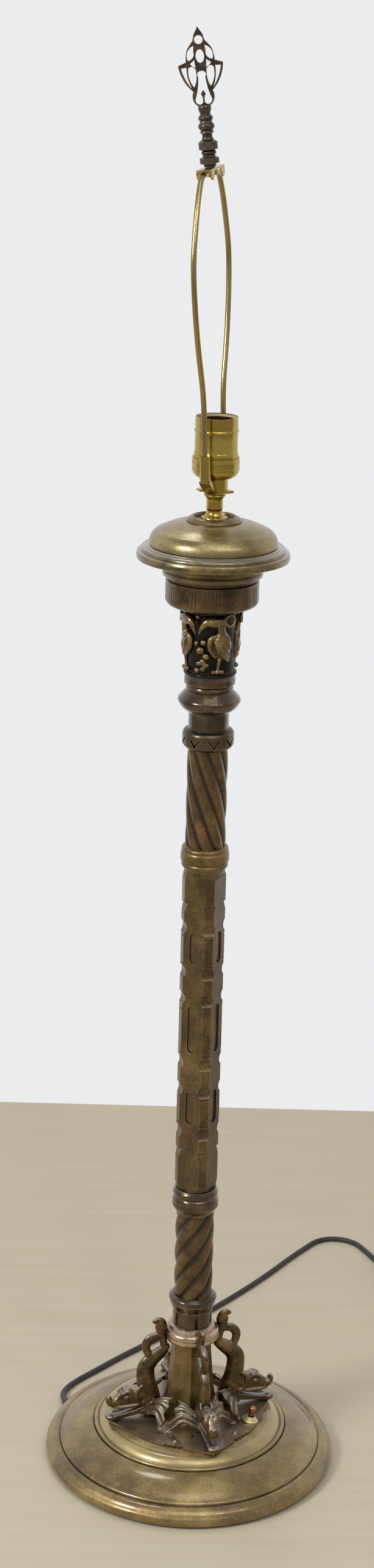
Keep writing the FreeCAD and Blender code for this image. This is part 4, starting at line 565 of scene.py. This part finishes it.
# Face of a dolphin: on each side an eye under a hooded brow, two lips and the fold of the gill, all
# cast with the head. The brow is an arch of stations round the eye.
eye_knob = (59.6, 23.8, 4.5, (1.9, 3.2, 2.4))
forehead_knob = (57.8, 30.2, 2.4, (3.1, 4.4, 2.6))
brow_out, brow_up = 58.5, 24.4
brow_half_length, brow_half_height = 5.6, 5.4
brow_side, brow_bulge = 3.7, 0.5
brow_thickness, brow_taper = 1.9, 0.05
brow_start, brow_step = -28, 17
brow_bulge_pace = 0.8
brow_stations = 13
upper_lip = [(43, 18.6, 4.6, 1.2, 1.2), (50, 16.2, 4.9, 1.5, 1.3), (58, 15.6, 4.6, 1.5, 1.3),
             (65, 15.6, 4.2, 1.4, 1.2), (71, 16.4, 3.4, 1.3, 1.1)]
lower_lip = [(43, 13.2, 4.4, 1.1, 1.1), (52, 10.4, 4.5, 1.0, 1.0), (62, 8.2, 4.2, 1.0, 1.0),
             (70, 7.4, 4.6, 1.0, 1.0)]
gill_fold = [(44, 35, 4.4, 1.0, 1.0), (49, 31.4, 5.2, 1.4, 1.2), (50.4, 25, 5.7, 1.5, 1.2),
             (47.6, 19, 5.5, 1.4, 1.2), (43, 15.6, 5.2, 1.0, 1.0)]


def face_details(form, way):
    """Brow, eye, lips and gill fold on one side of a dolphin's head."""
    brow = []
    for k in range(brow_stations):
        angle = math.radians(brow_start + k * brow_step)
        brow.append((brow_out - brow_half_length * math.cos(angle),
                     brow_up + brow_half_height * math.sin(angle),
                     way * (brow_side + brow_bulge * math.sin(angle * brow_bulge_pace)),
                     brow_thickness - brow_taper * abs(k - brow_stations // 2), brow_thickness))
    limb(form, in_profile(brow), sides=12)
    for out, up, side, sizes in (eye_knob, forehead_knob):
        ball(form, Vector((way * side, -out, dish_top + up)), sizes)
    for stations in (upper_lip, lower_lip, gill_fold):
        sided = [(out, up, way * side, thick, broad) for out, up, side, thick, broad in stations]
        limb(form, in_profile(eased(sided)), sides=10)


# Breast fins: two on each dolphin, thin webs with four ribs that fan out over the pedestal's foot to
# the plate. Their borders are (azimuth, distance from the axis, lift over the drape), and the drape is
# the (distance, height) of what they lie on. A rib is at full height a third of the way out.
fin_drape = [(20, 27), (25, 25.2), (31, 22), (36, 17), (40, 11.5), (43, 7.5), (48, 4.5), (60, 3)]
fin_low_border = eased([(3, 38, 2.5), (13, 35, 3.0), (27, 30.5, 2.5), (40, 27, 1.0)], steps=8)
fin_high_border = eased([(3, 47, 3.0), (15, 43.5, 4.4), (28, 42.5, 3.6), (43, 48, -1.2)], steps=8)
fin_folds = 3
points_per_fold = 10
rib_height = 1.5
rib_rise = 3
web_thickness = 3.0
notch_degrees = 4
notch_sharpness = 6


def drape_height(radius):
    """Height over the dish of the surface that a fin lies on, at a distance from the axis."""
    for (near, high), (far, low) in zip(fin_drape, fin_drape[1:]):
        if radius <= far:
            return high + (low - high) * (radius - near) / (far - near)
    return fin_drape[-1][1]


def breast_fin(form, way):
    """Ribbed web on one side of a dolphin, with a notch in its edge between the ribs."""
    steps_out = len(fin_low_border) - 1
    web = bmesh.ops.create_grid(form, x_segments=fin_folds * points_per_fold, y_segments=steps_out,
                                size=1)["verts"]
    for vert in web:
        share = (vert.co.x + 1) / 2
        step = round((vert.co.y + 1) / 2 * steps_out)
        reach = step / steps_out
        crest = (1 + math.cos(2 * math.pi * share * fin_folds)) / 2
        azimuth, radius, lift = [low + (high - low) * share
                                 for low, high in zip(fin_low_border[step], fin_high_border[step])]
        azimuth -= (1 - crest) * notch_degrees * reach ** notch_sharpness
        angle = math.radians(azimuth) * way
        top = drape_height(radius) + lift + crest * rib_height * min(reach * rib_rise, 1)
        vert.co = Vector((radius * math.sin(angle), -radius * math.cos(angle), dish_top + top)) * mm
    faces = list({face for vert in web for face in vert.link_faces})
    bmesh.ops.recalc_face_normals(form, faces=faces)
    form.normal_update()
    if sum(face.normal.z for face in faces) < 0:
        bmesh.ops.reverse_faces(form, faces=faces)
    bmesh.ops.solidify(form, geom=faces, thickness=web_thickness * mm)


for way in (-1, 1):
    face_details(dolphin, way)
    breast_fin(dolphin, way)
first_dolphin_azimuth = 17
dolphin_nodes = ["dolphin_front", "dolphin_right", "dolphin_rear", "dolphin_left"]
dolphin_spots = []
for k in range(len(dolphin_nodes)):
    azimuth = first_dolphin_azimuth + 360 / len(dolphin_nodes) * k
    dolphin_spots.append(Matrix.Rotation(math.radians(azimuth), 4, "Z"))
cast("dolphin", dolphin, dolphin_spots, 0.5, dolphin_brass, dolphin_nodes)

# Collars: short castings between the long ones, glossy and nearly black in their hollows from dark wax
# and painted shade. The roll over the dolphins' backs is rubbed to pinkish copper, and its faces that
# look up are painted paler as overhead light.
collar_brass = old_brass("waxed_cast_brass_collars", "#291f12", "#40311b", "#67512a", wax_and_shade=0.88, wear=0.8,
                         patch_mm=16, roughness=0.25, gloss=1.0, wax=0.1)
dress(["lower_collar", "lower_knuckle", "torus_ring", "cushion_ring"], collar_brass)
roll_brass = old_brass("rubbed_cast_brass_roll", "#977a5e", "#ba9c7f", "#d2b799", wax_and_shade=0.6, wear=0.8,
                       patch_mm=16, roughness=0.24, gloss=1.0, wax=0.1, painted_top_light=0.25)
dress(["rolled_collar"], roll_brass)

# Capital: two pairs of facing birds, cast in high relief and standing before a black barrel. Sizes are
# millimetres along the barrel from the line between a pair, upward from its foot, and from the axis.
# Their brass is rubbed on every round, and dark wax and painted shade make it black between the feathers.
capital_brass = old_brass("waxed_cast_brass_capital", "#4f3f27", "#765f38", "#a08450", wax_and_shade=0.95, wear=0.9,
                          patch_mm=9, roughness=0.30, gloss=0.9, wax=0.12)
pair_azimuth = -27
relief_radius = 24
core_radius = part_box("capital_core")[1][0] / mm
capital_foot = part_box("capital_ring")[0][2] / mm


def turn_at(along):
    """Turn about the axis, from the front to a place along the barrel."""
    return math.radians(pair_azimuth) + along / relief_radius


def outward(along):
    """Way out from the axis at a place along the barrel."""
    return Vector((math.sin(turn_at(along)), -math.cos(turn_at(along)), 0))


def on_barrel(along, up, radius):
    """Point of the capital in the lamp's frame, in mm."""
    return outward(along) * radius + Vector((0, 0, capital_foot + up))


def in_relief(stations):
    """Limb stations from (along, upward, radius, half breadth, half relief)."""
    return [(on_barrel(along, up, radius), outward(along), relief, broad)
            for along, up, radius, broad, relief in stations]


def bead(form, along, up, radius, sizes):
    """Oval bead with half sizes along, outward and upward."""
    ball(form, on_barrel(along, up, radius), sizes, turn_at(along))


beak_and_head = [(1.3, 36.8, 24.9, 0.5, 0.8), (2.4, 40.1, 24.6, 1.4, 1.6), (4.5, 43.7, 24.2, 2.1, 2.1),
                 (7.4, 46.7, 23.4, 3.2, 3.0), (11, 47.3, 22.6, 4.5, 3.7), (15, 47.1, 22.2, 4.6, 3.9),
                 (18.6, 47.7, 22.4, 3.7, 3.5), (21.5, 48.5, 23.2, 2.3, 2.6), (23.4, 48.7, 23.8, 1.5, 2.0)]
neck = [(18, 46.5, 22.0, 3.2, 3.0), (20.3, 41.5, 21.6, 3.3, 2.9), (21.7, 36.5, 21.0, 3.8, 2.9),
        (22.4, 31.5, 20.6, 5.2, 2.8)]
breast = [(17.4, 35.5, 20.6, 0.9, 1.6), (14, 34.9, 20.8, 1.8, 2.2), (10.8, 32.3, 20.8, 2.2, 2.4),
          (10.0, 28.1, 20.8, 2.3, 2.5), (11.2, 23.8, 20.8, 2.2, 2.4), (13.8, 20.1, 20.6, 1.9, 2.2),
          (17, 17.3, 20.2, 1.2, 1.8)]
wing = [(21.8, 39.1, 19.4, 2.6, 2.2), (21.8, 36, 19.4, 5.6, 3.4), (22.2, 31.5, 19.4, 7.5, 4.1),
        (22.9, 27, 19.4, 8.1, 4.3), (24.2, 22.7, 19.3, 7.3, 4.0), (26.2, 19.1, 19.2, 5.3, 3.4),
        (28.4, 16.3, 19.2, 3.2, 2.6), (30.6, 13.7, 19.2, 1.1, 1.6)]
feathers = [[(15.6, 30.5, 22.4, 0.9, 0.9), (16.6, 25.5, 22.8, 1.1, 1.2), (19.4, 20.9, 22.4, 1.1, 1.2),
             (24.4, 16.5, 21.8, 1.0, 1.1), (28.6, 13.7, 20.6, 0.7, 0.8)],
            [(19.6, 28.5, 23.0, 0.8, 0.8), (21.0, 24.1, 23.0, 1.0, 1.1), (24.6, 19.7, 22.4, 1.0, 1.1),
             (29.4, 15.5, 21.2, 0.7, 0.8)],
            [(23.4, 27.9, 23.2, 0.8, 0.8), (25.2, 23.9, 23.0, 1.0, 1.1), (28.2, 20.3, 22.2, 0.9, 1.0),
             (31, 17.5, 21.2, 0.6, 0.8)]]
leg = [(19.6, 15.9, 20.6, 1.6, 1.6), (18.8, 11.5, 20.2, 1.2, 1.5), (18, 7.1, 20.2, 1.3, 1.6)]
bird_eye = (10.6, 47.4, 26.0, (1.1, 0.7, 1.1))
bird_thigh = (19.6, 15.5, 20.4, (1.9, 2.0, 1.9))
toe_places = (13.9, 17.8, 21.8)
toe_up, toe_radius, toe_sizes = 5.8, 20.7, (2.0, 2.5, 2.0)
scale_rows = ((34.5, 3), (31.9, 4), (29.3, 3))
scale_middle, scale_pitch, scale_radius, scale_sizes = 22.4, 3.4, 22.9, (1.7, 0.8, 1.5)
bird = bmesh.new()
for stations in [beak_and_head, neck, breast, wing, leg] + feathers:
    limb(bird, in_relief(eased(stations, steps=4)), sides=16)
bead(bird, *bird_eye)
bead(bird, *bird_thigh)
for along in toe_places:
    bead(bird, along, toe_up, toe_radius, toe_sizes)
for up, count in scale_rows:
    for k in range(count):
        bead(bird, scale_middle + (k - (count - 1) / 2) * scale_pitch, up, scale_radius, scale_sizes)
# Behind its head each bird has an upright ring, cast on
ring_along, ring_up, ring_radius = 27, 48, 23.9
ring_middle, ring_tube = 4.6, 1.4
ring = bmesh.new()
section = bmesh.ops.create_circle(ring, segments=14, radius=ring_tube)["verts"]
section_place = Matrix.Translation((ring_middle, 0, 0)) @ Matrix.Rotation(math.pi / 2, 4, "X")
bmesh.ops.transform(ring, matrix=section_place, verts=section)
bmesh.ops.spin(ring, geom=ring.verts[:] + ring.edges[:], axis=(0, 0, 1), angle=2 * math.pi, steps=28,
               use_merge=True)
ring_place = (Matrix.Scale(mm, 4) @ Matrix.Translation(on_barrel(ring_along, ring_up, ring_radius))
              @ Matrix.Rotation(turn_at(ring_along), 4, "Z") @ Matrix.Rotation(math.pi / 2, 4, "X"))
bmesh.ops.transform(ring, matrix=ring_place, verts=ring.verts)
ring_mesh = bpy.data.meshes.new("bird_ring")
ring.to_mesh(ring_mesh)
ring.free()
bird.from_mesh(ring_mesh)
bpy.data.meshes.remove(ring_mesh)
half_turn = Matrix.Rotation(math.pi, 4, "Z")
facing = (Matrix.Rotation(math.radians(pair_azimuth), 4, "Z") @ Matrix.Diagonal((-1, 1, 1, 1))
          @ Matrix.Rotation(math.radians(-pair_azimuth), 4, "Z"))
cast("bird", bird, [Matrix(), facing, half_turn, half_turn @ facing], 0.42, capital_brass,
     ["capital_bird_1", "capital_bird_2", "capital_bird_3", "capital_bird_4"])

# Grapes, a vine leaf and the beads at the capital's foot: cast with the birds, one group in front and
# one behind. Grapes are (along, upward, half size), and leaf lobes (along, upward, half width, half height).
grape_places = ((-2.8, 28.5, 2.2), (4.4, 29.7, 2.7), (1.9, 23.3, 3.4), (7, 18.5, 2.9), (-1.9, 50.5, 2.5),
                (-1.5, 6.5, 2.3), (4.3, 7.7, 2.4))
grape_stand, grape_stand_share = 1.2, 0.75
leaf_lobes = ((-0.6, 11.7, 2.8, 1.9), (3.4, 13.1, 2.6, 2.6), (6.6, 10.7, 2.8, 1.8))
leaf_stand, leaf_relief = 2.3, 1.2
grapes = bmesh.new()
for along, up, size in grape_places:
    bead(grapes, along, up, core_radius + grape_stand + grape_stand_share * size, (size, size, size))
for along, up, wide, tall in leaf_lobes:
    bead(grapes, along, up, core_radius + leaf_stand, (wide, leaf_relief, tall))
bmesh.ops.duplicate(grapes, geom=grapes.verts[:] + grapes.edges[:] + grapes.faces[:])
bmesh.ops.transform(grapes, matrix=half_turn, verts=grapes.verts[:len(grapes.verts) // 2])
cast("grapes", grapes, [Matrix()], 0.35, capital_brass, ["grape_clusters"])


# Barrel behind the birds: turned, with a thin foot ring on the cushion and a lip under the drum, and
# black with wax and with painted shade, which stands for the shade under the drum and between the
# birds. It stands for the core, the rim and the ring.
def turned(name, profile, steps, crease, material, place):
    """Piece spun from a closed profile of (radius, height) in mm, then put in its place."""
    form = bmesh.new()
    corners = [form.verts.new((radius * mm, 0, up * mm)) for radius, up in profile]
    edges = [form.edges.new(pair) for pair in zip(corners, corners[1:] + corners[:1])]
    bmesh.ops.spin(form, geom=corners + edges, axis=(0, 0, 1), angle=2 * math.pi, steps=steps, use_merge=True)
    bmesh.ops.transform(form, matrix=place, verts=form.verts)
    bmesh.ops.recalc_face_normals(form, faces=form.faces)
    mesh = bpy.data.meshes.new(name)
    form.to_mesh(mesh)
    form.free()
    mesh.materials.append(material)
    for face in mesh.polygons:
        face.use_smooth = True
    piece = bpy.data.objects.new(name, mesh)
    scene.collection.objects.link(piece)
    split_edges = piece.modifiers.new("edges", "EDGE_SPLIT")
    split_edges.split_angle = math.radians(crease)
    return piece


capital_bore = 6
barrel_beyond_core = 2.1
barrel_radius = core_radius + barrel_beyond_core
foot_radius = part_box("cushion_ring")[1][0] / mm
foot_outline = [(0, 0), (0.5, 0.8), (0.5, 1.9), (-0.2, 2.8)]
foot_height = 3.4
lip_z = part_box("capital_rim")[1][2] / mm
lip_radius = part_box("capital_rim")[1][0] / mm
lip_outline = [(-0.8, -2.6), (0, -1.4), (-0.6, 0)]
flare_height, flare_top, flare_out = 6, 4, 1.2
barrel_profile = ([(capital_bore, capital_foot)]
                  + [(foot_radius + out, capital_foot + up) for out, up in foot_outline]
                  + [(barrel_radius, capital_foot + foot_height), (barrel_radius, lip_z - flare_height),
                     (barrel_radius + flare_out, lip_z - flare_top)]
                  + [(lip_radius + out, lip_z + up) for out, up in lip_outline]
                  + [(capital_bore, lip_z)])
# Old black wax and painted shade: nearly matt and nearly black, so that little brass shows
black_wax_and_shade = old_brass("black_wax_and_painted_shade", "#0d0b09", "#13100d", "#1c1712", wax_and_shade=0.9, wear=0.5, patch_mm=9,
                      roughness=0.5, gloss=0.3, blush_limit=0)
barrel = turned("capital_barrel", barrel_profile, 72, 40, black_wax_and_shade, Matrix.Identity(4))
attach(barrel, "stand")
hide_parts("capital_core", "capital_rim", "capital_ring")

# Head of the column: the fluted drum is cast, and the cornice and the hollow dome are spun from sheet
# and buffed, so the wax on them shines. The ring on the dome is a browner casting.
drum_brass = old_brass("waxed_cast_brass_drum", "#32281a", "#4f3f25", "#7b6439", wax_and_shade=0.97, wear=0.6,
                       patch_mm=14, roughness=0.34, wax=0.15)
dress(["drum"], drum_brass)
# The cornice's faces that look up are painted paler as overhead light
cornice_brass = old_brass("waxed_spun_brass_cornice", "#4e4029", "#716139", "#8f7a49", wax_and_shade=0.95, wear=0.8,
                          patch_mm=22, roughness=0.33, gloss=0.9, wax=0.1, painted_top_light=0.5)
dress(["cornice"], cornice_brass)
dome_brass = old_brass("waxed_spun_brass_dome", "#7b6d45", "#978559", "#ac9a6a", wax_and_shade=0.8, wear=0.55,
                       patch_mm=34, roughness=0.33, gloss=0.45, wax=0.2, blush_limit=0.25)
dress(["dome_cap"], dome_brass)
ring_brass = old_brass("copper_brown_ring", "#5d482d", "#80673f", "#a08455", wax_and_shade=0.8, wear=0.5, patch_mm=10,
                       roughness=0.38)
dress(["check_ring"], ring_brass)

# Lampholder, harp and its saddle: newer yellow brass, drawn and pressed, polished and lacquered, so it
# mirrors the room. The harp's wire has gone dull.
yellow_brass = mottled("lacquered_yellow_brass", "#b49c50", roughness=0.18, mottle_mm=6.0, contrast=0.1)
dress(["riser", "harp_saddle", "socket_cap", "socket_shell", "screw_shell", "centre_contact",
       "terminal_screws", "harp_top_plate", "harp_ferrule_front", "harp_ferrule_back", "plug_blades"],
      yellow_brass)
brass_wire = mottled("tarnished_brass_wire", "#9f8d5a", roughness=0.24, mottle_mm=30.0)
dress(["harp_leg_front", "harp_leg_back"], brass_wire)

# Ring nut round the foot switch: turned in pale brass, with a flange and two steps. It leans outward
# with the switch, so it is turned upright and then laid along the line on which the button slides.
press_axis = Vector(next(joint["axis"] for joint in frame["joints"] if joint["name"] == "foot_switch_press"))
nut_low, nut_high = [Vector(corner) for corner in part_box("switch_escutcheon")]
nut_foot = Vector(((nut_low.x + nut_high.x) / 2, (nut_low.y + nut_high.y) / 2, nut_low.z))
nut_place = Matrix.Translation(nut_foot) @ (-press_axis).to_track_quat("Z", "Y").to_matrix().to_4x4()
nut_radius = 7.1
nose_radius = 3.4
nut_sink = 0.5
nut_height = 4.2
nut_steps = [(0, 0.9), (0.5, 1.4), (1.5, 1.5), (1.7, 2.6), (2.1, 3.0), (2.7, 3.0), (2.8, 3.9),
             (3.2, nut_height)]
nut_profile = ([(nose_radius, -nut_sink), (nut_radius, -nut_sink)]
               + [(nut_radius - inward, up) for inward, up in nut_steps]
               + [(nose_radius, nut_height)])
# Pale gilt, painted paler than the metal is so that it looks lit from every side: a painted highlight.
# Its gloss is worn off by shoes
pale_gilt_painted_bright = mottled("pale_gilt_brass_painted_bright", "#e9dba8", roughness=0.38, mottle_mm=3.0, metallic=0.9, contrast=0.1)
nut = turned("switch_ring_nut", nut_profile, 48, 30, pale_gilt_painted_bright, nut_place)
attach(nut, "stand")
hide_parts("switch_escutcheon")

# Inside the lampholder: a liner of rolled card, buff and dull, and a core of white glazed porcelain,
# which is smooth and even.
card = mottled("insulating_card", "#b9a47c", roughness=0.9, mottle_mm=3.0, metallic=0.0, contrast=0.1)
dress(["socket_liner"], card)
porcelain = mottled("white_porcelain", "#e6e2d8", roughness=0.15, mottle_mm=12.0, metallic=0.0,
                    contrast=0.03)
dress(["socket_core"], porcelain)

# Finial: a turned stem with two milled rings under a pierced flat top, cast in bronze. Its patina is
# brown-black with rubbed edges and a dull shine.
finial_bronze = old_brass("black_patina_bronze", "#2a231c", "#413831", "#5f5040", wax_and_shade=0.7, wear=0.5,
                          patch_mm=8, roughness=0.4, gloss=0.5, wax=0.15)
dress(["finial"], finial_bronze)

# Small pieces left: the switch's button, turned in copper and polished by use, and the black moulded
# plastic of the switch's body, the plug, the bushing and the wires' insulation, which is satin.
copper = mottled("copper_button", "#b07a54", roughness=0.25, mottle_mm=3.0)
dress(["switch_button"], copper)
moulded = mottled("black_moulded_plastic", "#1b1b1d", roughness=0.4, mottle_mm=4.0, metallic=0.0,
                  contrast=0.1)
dress(["switch_body", "plug_body", "cord_bushing", "lamp_wires"], moulded)

bpy.context.view_layer.update()
